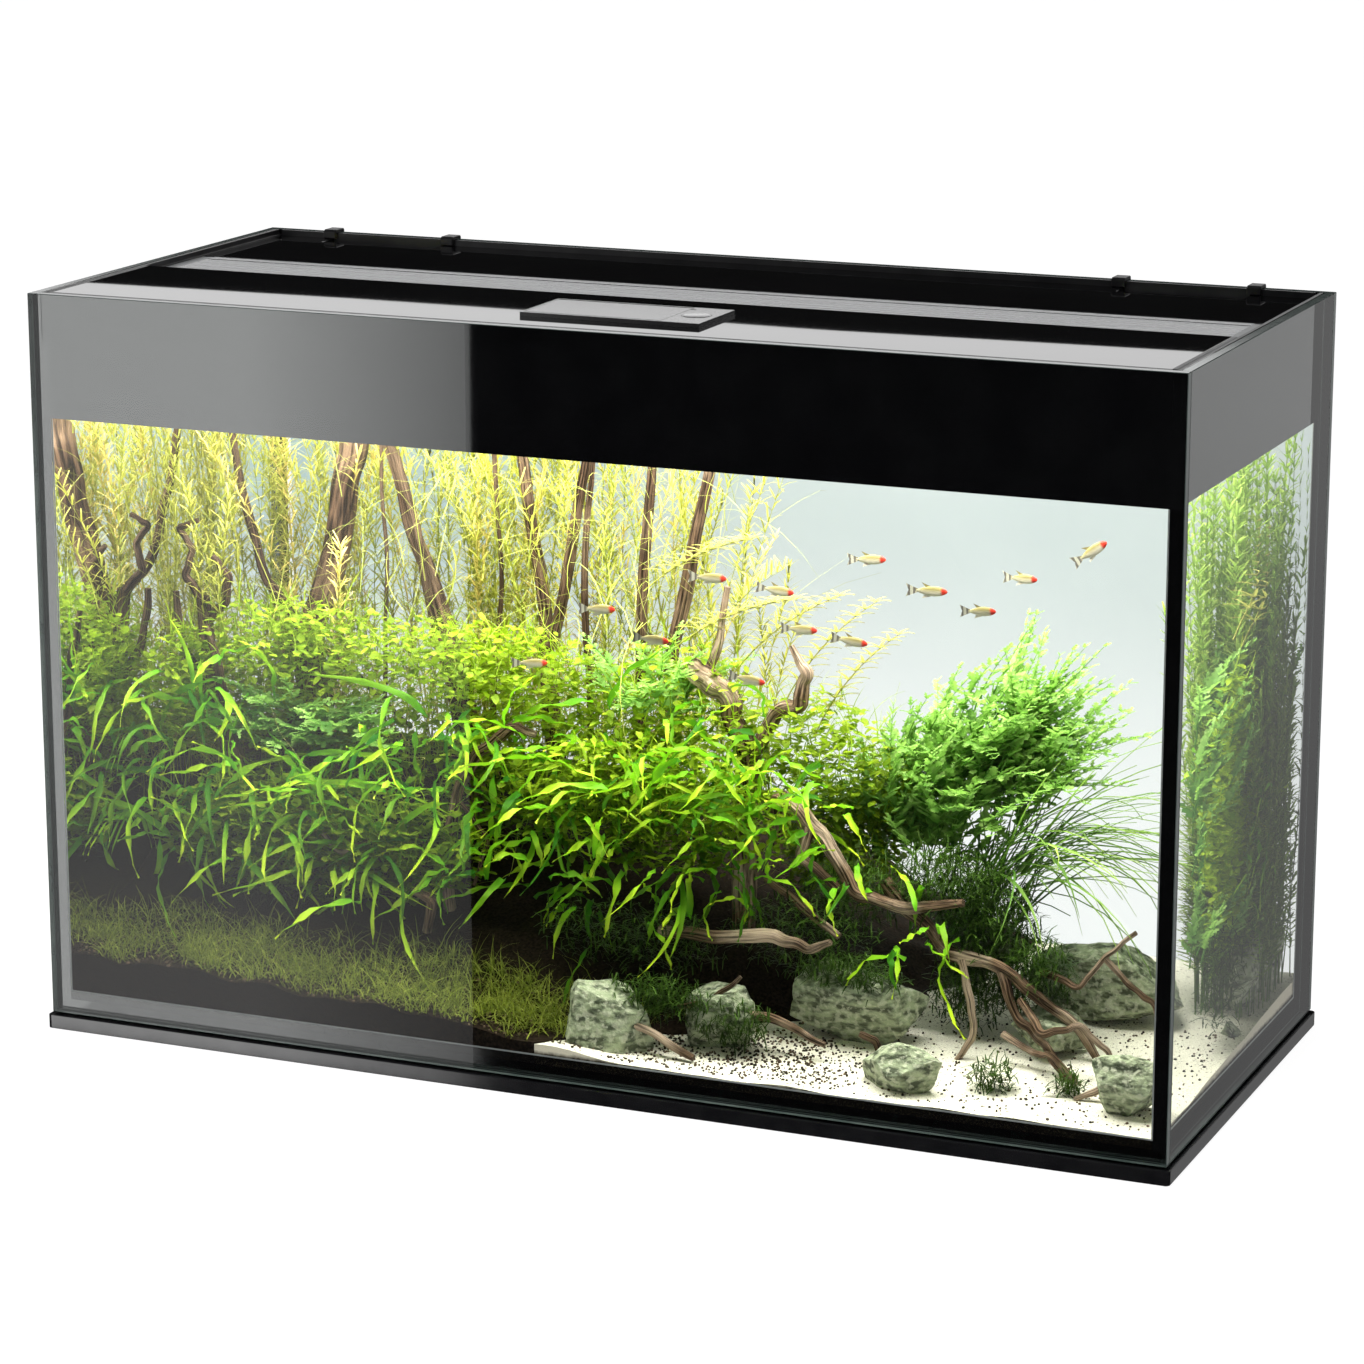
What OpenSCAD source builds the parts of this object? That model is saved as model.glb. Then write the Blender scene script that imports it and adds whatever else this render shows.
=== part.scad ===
// Glass aquarium with a low base frame, a sliding cover, a lamp beam that slides on
// side rails, and a planted landscape. Millimetres, +Z up, +X right, the viewer at -Y.
// The origin is the middle of the base frame's underside.

/* [Tank] */
// Outside width of the glass tank
tank_w = 1000; // [980:5:1100]
// Outside depth of the glass tank
tank_d = 430; // [430:5:480]
// Height of the upright panes
tank_h = 626; // [600:2:680]
// Thickness of the upright panes
glass_t = 8; // [6:1:10]
// Thickness of the floor pane
floor_t = 10; // [8:1:12]
// Thickness of the silicone between two panes
joint_t = 1; // [0.8:0.1:1.2]
// Width of the silicone bead left inside an upright corner
bead_w = 6; // [4:0.5:7]
// Width of the silicone bead left round the floor pane
floor_bead_w = 7.5; // [5:0.5:9]

/* [Base] */
// Height of the base frame's outer rim
rim_h = 12; // [8:1:20]
// Height of the recessed neck under the glass
neck_h = 2; // [1:0.5:4]
// How far the rim stands out past the glass
rim_lip = 3.5; // [3.5:0.5:6]
// Width of the base frame's band
rim_band = 30; // [20:1:45]

/* [Films] */
// Height of the black band behind the top of the glass
band_h = 106; // [80:1:120]
// Width of the black strip down the rear of each side pane
strip_w = 14; // [10:1:40]
// Thickness of a film
film_t = 0.6; // [0.3:0.1:0.8]

/* [Cover] */
// Depth of the sliding front lid
lid_d = 163; // [150:1:165]
// Thickness of the lid and of the rear cover
lid_t = 4; // [4:0.5:5]
// Width of the control plate on the lid
plate_w = 156; // [156:1:170]
// Depth of the control plate
plate_d = 75; // [74:1:78]
// How far the control plate stands above the lid
plate_h = 3.5; // [3.5:0.5:5]
// Width of each hose cut-out in the rear cover
hose_w = 110; // [60:1:120]
// Depth of each hose cut-out
hose_d = 24; // [15:1:30]

/* [Lamp] */
// Depth of the lamp beam
lamp_d = 96; // [88:1:98]
// Height of the lamp beam's housing
lamp_h = 23; // [22:1:25]
// Number of light sources in each row under the beam
led_count = 24; // [8:1:36]

/* [Hidden] */
$fn = 48;

// Heights
glass_z = rim_h + neck_h;
top_z = glass_z + tank_h;
floor_z = glass_z + floor_t;
band_z = top_z - band_h;
lid_z = top_z - lid_t;
cover_z = lid_z - 1 - lid_t;
cover_top = cover_z + lid_t;
rail_z = top_z - 40;
ledge_h = 4;

// Half sizes of the space inside the panes
in_x = tank_w / 2 - glass_t;
in_y = tank_d / 2 - glass_t;

// Rails
rail_x = in_x - film_t - 0.2;
web_x = in_x - 4;
upper_x = in_x - 7;
lower_x = in_x - 24;
rail_y = in_y - film_t - 0.2;
trim_y = rail_y - 3;
trim_x = upper_x - 0.5;
ledge_gap = 0.3;

// Lid
lid_x = in_x - 8;
lid_y = -trim_y + 0.2;
lid_back = lid_y + lid_d;

// Control plate, with its feeding bay on the left and its button bay on the right
plate_x = -72;
plate_y = -165;
plate_z = top_z + plate_h;
bay_x = 124;
flap_w = 119;
flap_d = 69;
flap_t = 2.5;
flap_x = plate_x + 2.5;
pin_y = plate_y + plate_d - 5;
pin_z = plate_z - 1.4;
pin_r = 0.8;
button_pos = [plate_x + 138.5, plate_y + 37];
button_r = 12;
button_travel = 1.2;
board_z = lid_z + 0.4;
board_t = 1.2;

// Lamp
lamp_y = lid_back + 2;
lamp_top = cover_top;
lamp_z = lamp_top - lamp_h;
lamp_x = in_x - 18;
lamp_wall = 3;
lamp_end_x = upper_x - 0.3;
groove_front = 21;
groove_back = 11;
groove_w = 3;
screw_r = 1.3;
screw_y = [6.2, lamp_d - 6.2];
screw_z = lamp_top - 6.2;
gland_x = 430;
gland_z = lamp_top - 15;

// Rear cover
cover_y = lamp_y + lamp_d + 2;
cover_back = trim_y - 0.4;
hose_x = 375;
clip_x = [-433, -315, 315, 433];

// Landscape: the sand's level, and the soil's three terraces as front edge, right edge, level
sand_top = 40;
terraces = [[-in_y, -60, 62], [-106, 120, 100], [30, 330, 150]];

module rounded_block(w, d, h, r) {
    translate([-w / 2 + r, -d / 2, 0]) cube([w - 2 * r, d, h]);
    translate([-w / 2, -d / 2 + r, 0]) cube([w, d - 2 * r, h]);
    for (x = [-1, 1], y = [-1, 1])
        translate([x * (w / 2 - r), y * (d / 2 - r), 0]) cylinder(h = h, r = r);
}

// A profile in X and Z drawn along Y, from y0 to y1
module along_y(y0, y1) {
    translate([0, y1, 0]) rotate([90, 0, 0]) linear_extrude(y1 - y0) children();
}

// A profile in Y and Z drawn along X, from x0 to x1
module along_x(x0, x1) {
    translate([x0, 0, 0]) rotate([90, 0, 90]) linear_extrude(x1 - x0) children();
}

module block(x, y, z) {
    translate([x[0], y[0], z[0]]) cube([x[1] - x[0], y[1] - y[0], z[1] - z[0]]);
}

// ---- Base ----

module base_frame() {
    inner_w = tank_w - 2 * rim_band;
    inner_d = tank_d - 2 * rim_band;
    color("#1b1b1c") difference() {
        union() {
            rounded_block(tank_w + 2 * rim_lip, tank_d + 2 * rim_lip, rim_h, 4);
            translate([0, 0, rim_h]) rounded_block(tank_w - 10, tank_d - 10, neck_h, 3);
        }
        translate([-inner_w / 2, -inner_d / 2, -1]) cube([inner_w, inner_d, glass_z + 2]);
    }
}

module support_mat() {
    mat_w = tank_w - 2 * rim_band - 2;
    mat_d = tank_d - 2 * rim_band - 2;
    color("#303234") translate([-mat_w / 2, -mat_d / 2, 0]) cube([mat_w, mat_d, glass_z]);
}

// ---- Glass ----

module floor_pane() {
    x = in_x - joint_t;
    y = in_y - joint_t;
    color("#cfe5dd") block([-x, x], [-y, y], [glass_z, floor_z]);
}

module long_pane() {
    block([-tank_w / 2, tank_w / 2], [-tank_d / 2, -in_y], [glass_z, top_z]);
}

module front_pane() {
    color("#d5e8e2") long_pane();
}

module rear_pane() {
    color("#d5e8e2") mirror([0, 1, 0]) long_pane();
}

module short_pane() {
    y = in_y - joint_t;
    block([in_x, tank_w / 2], [-y, y], [glass_z, top_z]);
}

module right_pane() {
    color("#d5e8e2") short_pane();
}

module left_pane() {
    color("#d5e8e2") mirror([1, 0, 0]) short_pane();
}

// ---- Silicone ----

// The front right corner's joint, with the bead that shows inside it up to the rails
module corner_seal() {
    block([in_x, tank_w / 2], [-in_y, -in_y + joint_t], [glass_z, top_z]);
    translate([0, 0, floor_z]) linear_extrude(rail_z - floor_z)
        polygon([[in_x, -in_y], [in_x - bead_w, -in_y], [in_x, -in_y + bead_w]]);
}

module front_right_seal() {
    color("#0d0d0e") corner_seal();
}

module front_left_seal() {
    color("#0d0d0e") mirror([1, 0, 0]) corner_seal();
}

module rear_right_seal() {
    color("#0d0d0e") mirror([0, 1, 0]) corner_seal();
}

module rear_left_seal() {
    color("#0d0d0e") mirror([1, 0, 0]) mirror([0, 1, 0]) corner_seal();
}

module all_corner_seals() {
    for (x = [0, 1], y = [0, 1])
        mirror([x, 0, 0]) mirror([0, y, 0]) corner_seal();
}

module floor_beads() {
    bead = [[-in_y, floor_z], [-in_y + floor_bead_w, floor_z], [-in_y, floor_z + floor_bead_w]];
    side_bead = [[in_x, floor_z], [in_x - floor_bead_w, floor_z], [in_x, floor_z + floor_bead_w]];
    for (side = [0, 1]) {
        mirror([0, side, 0]) along_x(-in_x, in_x) polygon(bead);
        mirror([side, 0, 0]) along_y(-in_y, in_y) polygon(side_bead);
    }
}

module floor_seal() {
    x = in_x - joint_t;
    y = in_y - joint_t;
    color("#0d0d0e") difference() {
        union() {
            difference() {
                block([-in_x, in_x], [-in_y, in_y], [glass_z, floor_z]);
                block([-x, x], [-y, y], [glass_z - 1, floor_z + 1]);
            }
            floor_beads();
        }
        all_corner_seals();
    }
}

// ---- Films ----

module long_band() {
    x = in_x - bead_w;
    block([-x, x], [-in_y, -in_y + film_t], [band_z, top_z]);
}

module front_band() {
    color("#070708") long_band();
}

module rear_band() {
    color("#070708") mirror([0, 1, 0]) long_band();
}

// The side band turns down into a strip that hides the rear corner
module side_band() {
    y = in_y - bead_w - 0.2;
    strip_z = floor_z + floor_bead_w + 0.2;
    translate([in_x - film_t, 0, 0]) rotate([90, 0, 90]) linear_extrude(film_t)
        polygon([
            [-y, top_z], [y, top_z], [y, strip_z],
            [y - strip_w, strip_z], [y - strip_w, band_z], [-y, band_z]
        ]);
}

module right_band() {
    color("#070708") side_band();
}

module left_band() {
    color("#070708") mirror([1, 0, 0]) side_band();
}

module background_film() {
    x = in_x - bead_w;
    color("#cfe0e4") block([-x, x], [tank_d / 2, tank_d / 2 + 0.5], [floor_z + 6, band_z + 4]);
}

// ---- Rails and trims ----

// The lid rides on the upper ledge and the lamp beam on the lower one
module rail() {
    along_y(-rail_y, rail_y) polygon([
        [rail_x, rail_z], [rail_x, top_z], [web_x, top_z], [web_x, lid_z - ledge_gap],
        [upper_x, lid_z - ledge_gap], [upper_x, lid_z - ledge_h], [web_x, lid_z - ledge_h],
        [web_x, rail_z + ledge_h], [lower_x, rail_z + ledge_h], [lower_x, rail_z]
    ]);
}

module right_rail() {
    color("#18181a") rail();
}

module left_rail() {
    color("#18181a") mirror([1, 0, 0]) rail();
}

module front_trim() {
    color("#18181a") along_x(-trim_x, trim_x) polygon([
        [-rail_y, rail_z + 5], [-rail_y, top_z], [-trim_y, top_z],
        [-trim_y, lid_z - ledge_gap], [-trim_y + 5, lid_z - ledge_gap],
        [-trim_y + 5, lid_z - ledge_h], [-trim_y, lid_z - ledge_h], [-trim_y, rail_z + 5]
    ]);
}

module rear_trim() {
    color("#18181a") along_x(-trim_x, trim_x) polygon([
        [rail_y, rail_z + 5], [rail_y, top_z], [trim_y, top_z], [trim_y, cover_z],
        [trim_y - 6, cover_z], [trim_y - 6, cover_z - ledge_h],
        [trim_y, cover_z - ledge_h], [trim_y, rail_z + 5]
    ]);
}

// ---- Rear cover ----

module rear_cover() {
    leg_x = [trim_x - 4.5, trim_x];
    color("#0a0a0b") difference() {
        union() {
            block([-trim_x, trim_x], [cover_y, cover_back], [cover_z, cover_top]);
            block([-trim_x, trim_x], [cover_y, cover_y + 3], [cover_z - 5, cover_z]);
            for (side = [0, 1]) mirror([side, 0, 0])
                block(leg_x, [cover_y, trim_y - 6.4], [rail_z + ledge_h, cover_z]);
        }
        for (side = [-1, 1])
            translate([side * hose_x - hose_w / 2, cover_back - hose_d, cover_z - 1])
                cube([hose_w, hose_d + 1, lid_t + 2]);
    }
}

// Each clip hooks over the rear pane and holds the rear cover down
module cover_clips() {
    outer_y = tank_d / 2 + 0.6;
    inner_y = trim_y - 0.2;
    color("#121213") for (x = clip_x)
        along_x(x - 6, x + 6) polygon([
            [inner_y - 4, cover_top + 0.2], [inner_y - 4, top_z + 1.4],
            [inner_y - 2, top_z + 3.2], [outer_y + 0.6, top_z + 3.2], [outer_y + 2, top_z + 1.8],
            [outer_y + 2, top_z - 18], [outer_y, top_z - 18], [outer_y, top_z + 0.2],
            [inner_y, top_z + 0.2], [inner_y, cover_top + 0.2]
        ]);
}

// ---- Front lid ----

module front_lid() {
    color("#0b0b0c") difference() {
        block([-lid_x, lid_x], [lid_y, lid_back], [lid_z, top_z]);
        translate([plate_x + 1.8, plate_y + 1.8, lid_z - 1])
            cube([plate_w - 3.6, plate_d - 3.6, lid_t + 2]);
    }
}

module runner() {
    block([lid_x, web_x - 0.4], [lid_y, lid_back], [lid_z - 0.1, top_z]);
}

module right_runner() {
    color("#242426") runner();
}

module left_runner() {
    color("#242426") mirror([1, 0, 0]) runner();
}

module control_plate() {
    flap_floor = plate_z - flap_t - 0.3;
    pocket_r = button_r + 0.3;
    color("#1d1d1f") difference() {
        union() {
            translate([plate_x, plate_y, top_z]) cube([plate_w, plate_d, plate_h]);
            translate([plate_x + 2, plate_y + 2, lid_z]) cube([plate_w - 4, plate_d - 4, lid_t]);
        }
        // Recess that the flap closes into
        translate([plate_x + 2, plate_y + 3, flap_floor])
            cube([bay_x - 4, plate_d - 5, flap_t + 1.3]);
        // Feeding hole
        translate([plate_x + 14, plate_y + 14, lid_z - 1]) cube([94, 44, 20]);
        // Round well for the button, and the pocket for its circuit board
        translate([button_pos[0], button_pos[1], lid_z + 2]) cylinder(h = 20, r = pocket_r);
        translate([button_pos[0] - 12, button_pos[1] - 22, lid_z - 1]) cube([24, 44, 3.2]);
        // Bores that hold the flap's pin, and the slot where a finger lifts the flap
        translate([plate_x - 1, pin_y, pin_z]) rotate([0, 90, 0])
            cylinder(h = bay_x + 4, r = pin_r);
        translate([plate_x + bay_x - 3, plate_y + plate_d - 12, plate_z - 1]) cube([6, 2.5, 2]);
    }
}

module feed_flap() {
    barrel_r = 1.4;
    flap_z = plate_z - flap_t;
    color("#202022") difference() {
        union() {
            translate([flap_x, pin_y - flap_d + 3.4, flap_z]) cube([flap_w, flap_d - 3.4, flap_t]);
            translate([flap_x, pin_y, pin_z]) rotate([0, 90, 0]) cylinder(h = flap_w, r = barrel_r);
        }
        translate([flap_x - 1, pin_y, pin_z]) rotate([0, 90, 0])
            cylinder(h = flap_w + 2, r = pin_r + 0.06);
        // The slab stops short of the barrel's rear half
        translate([flap_x - 1, pin_y, flap_z - 1]) cube([flap_w + 2, 4, pin_z - barrel_r - flap_z + 1]);
    }
}

module flap_pin() {
    color("#b9bcc0") translate([plate_x + 0.5, pin_y, pin_z]) rotate([0, 90, 0])
        cylinder(h = bay_x + 1, r = pin_r);
}

module light_button() {
    stem_h = 1.6;
    cap_h = 2.4;
    color("#2a2a2d") translate([button_pos[0], button_pos[1], plate_z + 0.3 - cap_h]) {
        rotate_extrude() polygon([
            [0, -stem_h], [3, -stem_h], [3, 0], [button_r, 0], [button_r, cap_h - 0.5],
            [button_r - 0.5, cap_h], [button_r - 3, cap_h - 0.3], [0, cap_h - 0.6]
        ]);
    }
}

// Rubber dome that pushes the button back up
module button_dome() {
    foot = board_z + board_t;
    head = plate_z + 0.3 - 2.4;
    color("#3a3a3c") translate([button_pos[0], button_pos[1], foot]) rotate_extrude()
        polygon([
            [9, 0], [10.5, 0], [10.5, 0.6], [6.5, head - foot], [4.5, head - foot], [9, 0.6]
        ]);
}

module switch_board() {
    color("#1f4d33") {
        translate([button_pos[0] - 11.5, button_pos[1] - 21.5, board_z])
            cube([23, 43, board_t]);
        translate([button_pos[0], button_pos[1], board_z + board_t]) cylinder(h = 0.6, r = 2.5);
    }
}

// ---- Lamp beam ----

module lamp_section() {
    difference() {
        union() {
            difference() {
                square([lamp_d, lamp_h]);
                translate([lamp_wall, -1]) square([lamp_d - 2 * lamp_wall, lamp_h - lamp_wall + 1]);
            }
            for (y = screw_y) translate([y, lamp_h - 6.2]) circle(r = 3.4);
        }
        for (y = screw_y) translate([y, lamp_h - 6.2]) circle(r = screw_r + 0.05);
        // Two long grooves along the top, one near the lid and one near the rear cover
        for (y = [groove_front, lamp_d - groove_back - groove_w])
            translate([y, lamp_h - 1]) square([groove_w, 2]);
    }
}

module lamp_housing() {
    color("#6e7072") translate([0, lamp_y, lamp_z]) along_x(-lamp_x, lamp_x) lamp_section();
}

module lamp_end() {
    foot_z = rail_z + ledge_h + 0.3;
    color("#8a8c8e") difference() {
        along_x(lamp_x, lamp_end_x) polygon([
            [lamp_y - 2, foot_z], [lamp_y - 2, lamp_top - 2], [lamp_y, lamp_top],
            [lamp_y + lamp_d - 2, lamp_top], [lamp_y + lamp_d, lamp_top - 2],
            [lamp_y + lamp_d, foot_z]
        ]);
        for (y = screw_y) translate([lamp_x - 1, lamp_y + y, screw_z]) rotate([0, 90, 0])
            cylinder(h = 20, r = screw_r + 0.3);
    }
}

module right_lamp_end() {
    lamp_end();
}

module left_lamp_end() {
    mirror([1, 0, 0]) lamp_end();
}

module led_board() {
    board_y = lamp_y + 10;
    board_d = lamp_d - 20;
    under = lamp_top - lamp_wall;
    pitch = 2 * (lamp_x - 20) / (led_count - 1);
    color("#e8eae6") {
        block([-lamp_x + 4, lamp_x - 4], [board_y, board_y + board_d], [under - 1.6, under]);
        for (i = [0 : led_count - 1], y = [board_y + 15, board_y + board_d - 15])
            translate([-lamp_x + 20 + i * pitch - 2.5, y - 2.5, under - 2.6]) cube([5, 5, 1]);
    }
}

module lamp_lens() {
    gap = lamp_wall + 0.1;
    color("#eef2f2") block([-lamp_x + 0.1, lamp_x - 0.1], [lamp_y + gap, lamp_y + lamp_d - gap],
        [lamp_z, lamp_z + 2]);
}

module lamp_screws() {
    color("#9da0a3") for (side = [0, 1], y = screw_y) mirror([side, 0, 0])
        translate([0, lamp_y + y, screw_z]) rotate([0, 90, 0]) {
            translate([0, 0, lamp_x - 12]) cylinder(h = lamp_end_x - lamp_x + 12, r = screw_r);
            translate([0, 0, lamp_end_x]) cylinder(h = 1.6, r = 2.6);
        }
}

// Sleeve that the lamp's lead comes out of
module lamp_gland() {
    color("#101011") translate([gland_x, lamp_y + lamp_d, gland_z]) rotate([-90, 0, 0])
        difference() {
            union() {
                cylinder(h = 3, r = 5);
                cylinder(h = 12, r1 = 4.5, r2 = 3.5);
            }
            translate([0, 0, -1]) cylinder(h = 20, r = 2.2);
        }
}

// ---- Ground ----

// One terrace per entry, each running back to the next one's front edge
module soil_bed() {
    color("#2b2018") difference() {
        for (i = [0 : len(terraces) - 1]) {
            front = terraces[i][0];
            back = i < len(terraces) - 1 ? terraces[i + 1][0] : in_y;
            block([-in_x, terraces[i][1]], [front, back], [floor_z, terraces[i][2]]);
        }
        floor_beads();
        all_corner_seals();
        for (side = [0, 1]) mirror([side, 0, 0]) side_band();
    }
}

module sand_bed() {
    color("#e9e1cc") difference() {
        for (i = [0 : len(terraces) - 1]) {
            front = terraces[i][0];
            back = i < len(terraces) - 1 ? terraces[i + 1][0] : in_y;
            block([terraces[i][1], in_x], [front, back], [floor_z, sand_top]);
        }
        floor_beads();
        all_corner_seals();
        side_band();
    }
}

// A weathered stone with a flat foot: size is [width, depth, height]
module stone(pos, size, turn) {
    translate(pos) rotate([0, 0, turn]) hull() {
        translate([0, 0, size[2] * 0.1])
            cube([size[0] * 0.9, size[1] * 0.7, size[2] * 0.2], center = true);
        translate([size[0] * 0.04, 0, size[2] * 0.45])
            cube([size[0], size[1] * 0.8, size[2] * 0.3], center = true);
        translate([-size[0] * 0.08, size[1] * 0.05, size[2] * 0.55])
            rotate([0, 0, 25]) cube([size[0] * 0.6, size[1] * 0.75, size[2] * 0.5], center = true);
        translate([-size[0] * 0.1, 0, size[2] * 0.8])
            rotate([0, 0, 12]) cube([size[0] * 0.4, size[1] * 0.4, size[2] * 0.4], center = true);
    }
}

module rocks() {
    color("#59605a") {
        stone([-4, -164, sand_top], [90, 46, 52], 8);
        stone([84, -134, sand_top], [62, 38, 62], -12);
        stone([190, -78, sand_top], [120, 58, 74], 5);
        stone([262, -168, sand_top], [72, 44, 38], -15);
        stone([400, 34, sand_top], [140, 84, 104], 6);
        stone([450, -158, sand_top], [54, 46, 46], 20);
    }
}

// ---- Driftwood ----

// A branch through points that are [x, y, z, radius]
module branch(points) {
    for (i = [0 : len(points) - 2]) hull() {
        for (p = [points[i], points[i + 1]])
            translate([p[0], p[1], p[2]]) sphere(r = p[3], $fn = 10);
    }
}

module driftwood_trunks() {
    rear_z = terraces[2][2];
    color("#6d4a33") intersection() {
        union() {
            branch([[-372, 56, 150, 19], [-388, 58, 294, 17], [-352, 60, 400, 18], [-350, 62, 505, 13]]);
            branch([[-388, 58, 292, 12], [-436, 62, 380, 8], [-478, 64, 470, 6]]);
            branch([[-218, 54, 150, 15], [-236, 56, 285, 13], [-286, 60, 410, 11], [-312, 62, 508, 9]]);
            branch([[-148, 60, 150, 12], [-156, 64, 298, 10], [-178, 66, 470, 8]]);
            branch([[-72, 62, 150, 10], [-66, 64, 320, 8], [-56, 66, 480, 6]]);
            branch([[-40, 56, 150, 12], [-34, 58, 314, 9], [0, 60, 480, 7]]);
        }
        translate([-in_x, 31, rear_z]) cube([2 * in_x, 60, 400]);
    }
}

module driftwood_claw() {
    mid_z = terraces[1][2];
    color("#4a3527") intersection() {
        union() {
            branch([[-404, -28, 100, 14], [-420, -26, 200, 12], [-448, -22, 262, 10], [-456, -18, 350, 8]]);
            branch([[-456, -18, 350, 8], [-470, -16, 384, 6], [-440, -14, 408, 5]]);
            branch([[-440, -24, 250, 9], [-472, -22, 300, 6], [-478, -20, 352, 5]]);
            branch([[-420, -26, 205, 8], [-392, -24, 244, 6], [-366, -22, 262, 5]]);
        }
        translate([-in_x, -44, mid_z]) cube([2 * in_x, 73, 400]);
    }
}

// The roots stand on the soil at the left and come down to the sand at the right
module driftwood_roots() {
    mid_z = terraces[1][2];
    color("#8a6647") difference() {
        union() {
            // Arch at the centre
            branch([[-192, -26, 100, 13], [-196, -24, 160, 12], [-160, -22, 232, 10], [-120, -20, 268, 7]]);
            // Stubs behind the ferns
            branch([[62, -12, 100, 14], [66, -12, 250, 14], [44, -14, 306, 13], [80, -14, 318, 9]]);
            branch([[66, -12, 250, 10], [96, -14, 300, 8], [100, -14, 360, 5]]);
            // Long root running down to the right
            branch([[96, -24, 104, 12], [130, -28, 214, 11], [196, -30, 160, 11], [270, -30, 160, 9]]);
            branch([[196, -30, 160, 11], [258, -46, 100, 9], [330, -70, 96, 8], [404, -104, 52, 7]]);
            branch([[330, -70, 96, 7], [360, -84, 130, 5], [430, -78, 150, 4]]);
            branch([[300, -60, 98, 6], [312, -110, 70, 5], [350, -140, 46, 4]]);
        }
        block([-in_x, terraces[1][1] + 0.5], [-190, 10], [0, mid_z]);
        block([0, in_x], [-190, 10], [0, sand_top]);
    }
}

// ---- Plants: each group's clumps are plain round solids that hold the plants' space ----

module clump(x, y, z, r, h) {
    translate([x, y, z]) rotate_extrude()
        polygon([[0, 0], [0.55 * r, 0], [r, 0.35 * h], [0.9 * r, 0.8 * h], [0.4 * r, h], [0, h]]);
}

module stem_plants() {
    rear_z = terraces[2][2];
    color("#b9c24e") for (i = [0 : 5])
        clump(-430 + i * 84, 144, rear_z, 40, 365 - (i > 3 ? 60 * (i - 3) : 0));
}

module fern_clumps() {
    mid_z = terraces[1][2];
    color("#5da52a") {
        for (x = [-440, -355, -270, -150, -80, -5])
            clump(x, -76, mid_z, x == -150 || x == -80 ? 28 : 30, 160);
        clump(-320, 0, mid_z, 27, 190);
        clump(-255, 0, mid_z, 26, 190);
        clump(-130, 2, mid_z, 26, 120);
        clump(-60, 0, mid_z, 28, 190);
        clump(0, 0, mid_z, 27, 200);
    }
}

module fern_bush() {
    color("#3f9a3a") {
        clump(190, 84, terraces[2][2], 52, 170);
        clump(290, 92, terraces[2][2], 38, 205);
        clump(122, 156, terraces[2][2], 40, 130);
    }
}

// Tall stems in the rear right corner, seen through the side pane
module side_stems() {
    color("#7f9a45") {
        clump(446, 165, sand_top, 30, 440);
        clump(458, 106, sand_top, 24, 420);
    }
}

module hairgrass_mat() {
    front_z = terraces[0][2];
    color("#93a83c") for (i = [0 : 5])
        translate([-450 + i * 66, -158, front_z]) cylinder(h = 20, r1 = 32, r2 = 26);
}

module moss_pads() {
    color("#3d5a1e") {
        translate([290, -14, sand_top]) cylinder(h = 62, r1 = 20, r2 = 12);
        translate([336, -34, sand_top]) cylinder(h = 40, r1 = 14, r2 = 10);
        translate([150, -130, sand_top]) cylinder(h = 26, r1 = 22, r2 = 14);
        translate([395, -160, sand_top]) cylinder(h = 16, r1 = 12, r2 = 9);
    }
}

base_frame();
support_mat();
floor_pane();
front_pane();
rear_pane();
left_pane();
right_pane();
floor_seal();
front_left_seal();
front_right_seal();
rear_left_seal();
rear_right_seal();
front_band();
rear_band();
left_band();
right_band();
background_film();
left_rail();
right_rail();
front_trim();
rear_trim();
rear_cover();
cover_clips();
front_lid();
left_runner();
right_runner();
control_plate();
feed_flap();
flap_pin();
light_button();
button_dome();
switch_board();
lamp_housing();
left_lamp_end();
right_lamp_end();
led_board();
lamp_lens();
lamp_screws();
lamp_gland();
soil_bed();
sand_bed();
rocks();
driftwood_trunks();
driftwood_claw();
driftwood_roots();
stem_plants();
fern_clumps();
fern_bush();
side_stems();
hairgrass_mat();
moss_pads();
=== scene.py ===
import math

import bpy
import numpy as np
from mathutils import Matrix, Vector, noise


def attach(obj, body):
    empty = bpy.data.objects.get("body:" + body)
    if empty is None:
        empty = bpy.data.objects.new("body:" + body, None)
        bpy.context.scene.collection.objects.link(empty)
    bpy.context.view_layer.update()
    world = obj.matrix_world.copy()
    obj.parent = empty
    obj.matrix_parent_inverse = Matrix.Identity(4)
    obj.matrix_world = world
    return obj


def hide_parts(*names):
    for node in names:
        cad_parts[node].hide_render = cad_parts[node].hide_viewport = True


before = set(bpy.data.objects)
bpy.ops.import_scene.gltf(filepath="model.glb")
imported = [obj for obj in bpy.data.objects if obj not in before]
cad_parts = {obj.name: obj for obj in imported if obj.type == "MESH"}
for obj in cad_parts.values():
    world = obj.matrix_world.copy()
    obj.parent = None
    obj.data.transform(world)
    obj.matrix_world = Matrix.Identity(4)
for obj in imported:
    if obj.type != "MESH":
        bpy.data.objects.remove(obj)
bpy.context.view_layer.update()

scene = bpy.context.scene

# ---- The view ----
# A tripod camera with a long lens, right of the tank's middle and above it, turned to the left
# and a little down, so that the front, the right side and the top all show.
camera = bpy.data.objects.new("camera", bpy.data.cameras.new("camera"))
scene.collection.objects.link(camera)
camera.data.lens = 115.16
camera.data.sensor_width = 36
camera.data.clip_end = 200
camera.location = (1.4039, -3.3130, 1.1937)
camera.rotation_euler = (math.radians(90 - 13.85), 0, math.radians(22.97))
scene.camera = camera
scene.view_settings.view_transform = "Standard"


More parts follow.
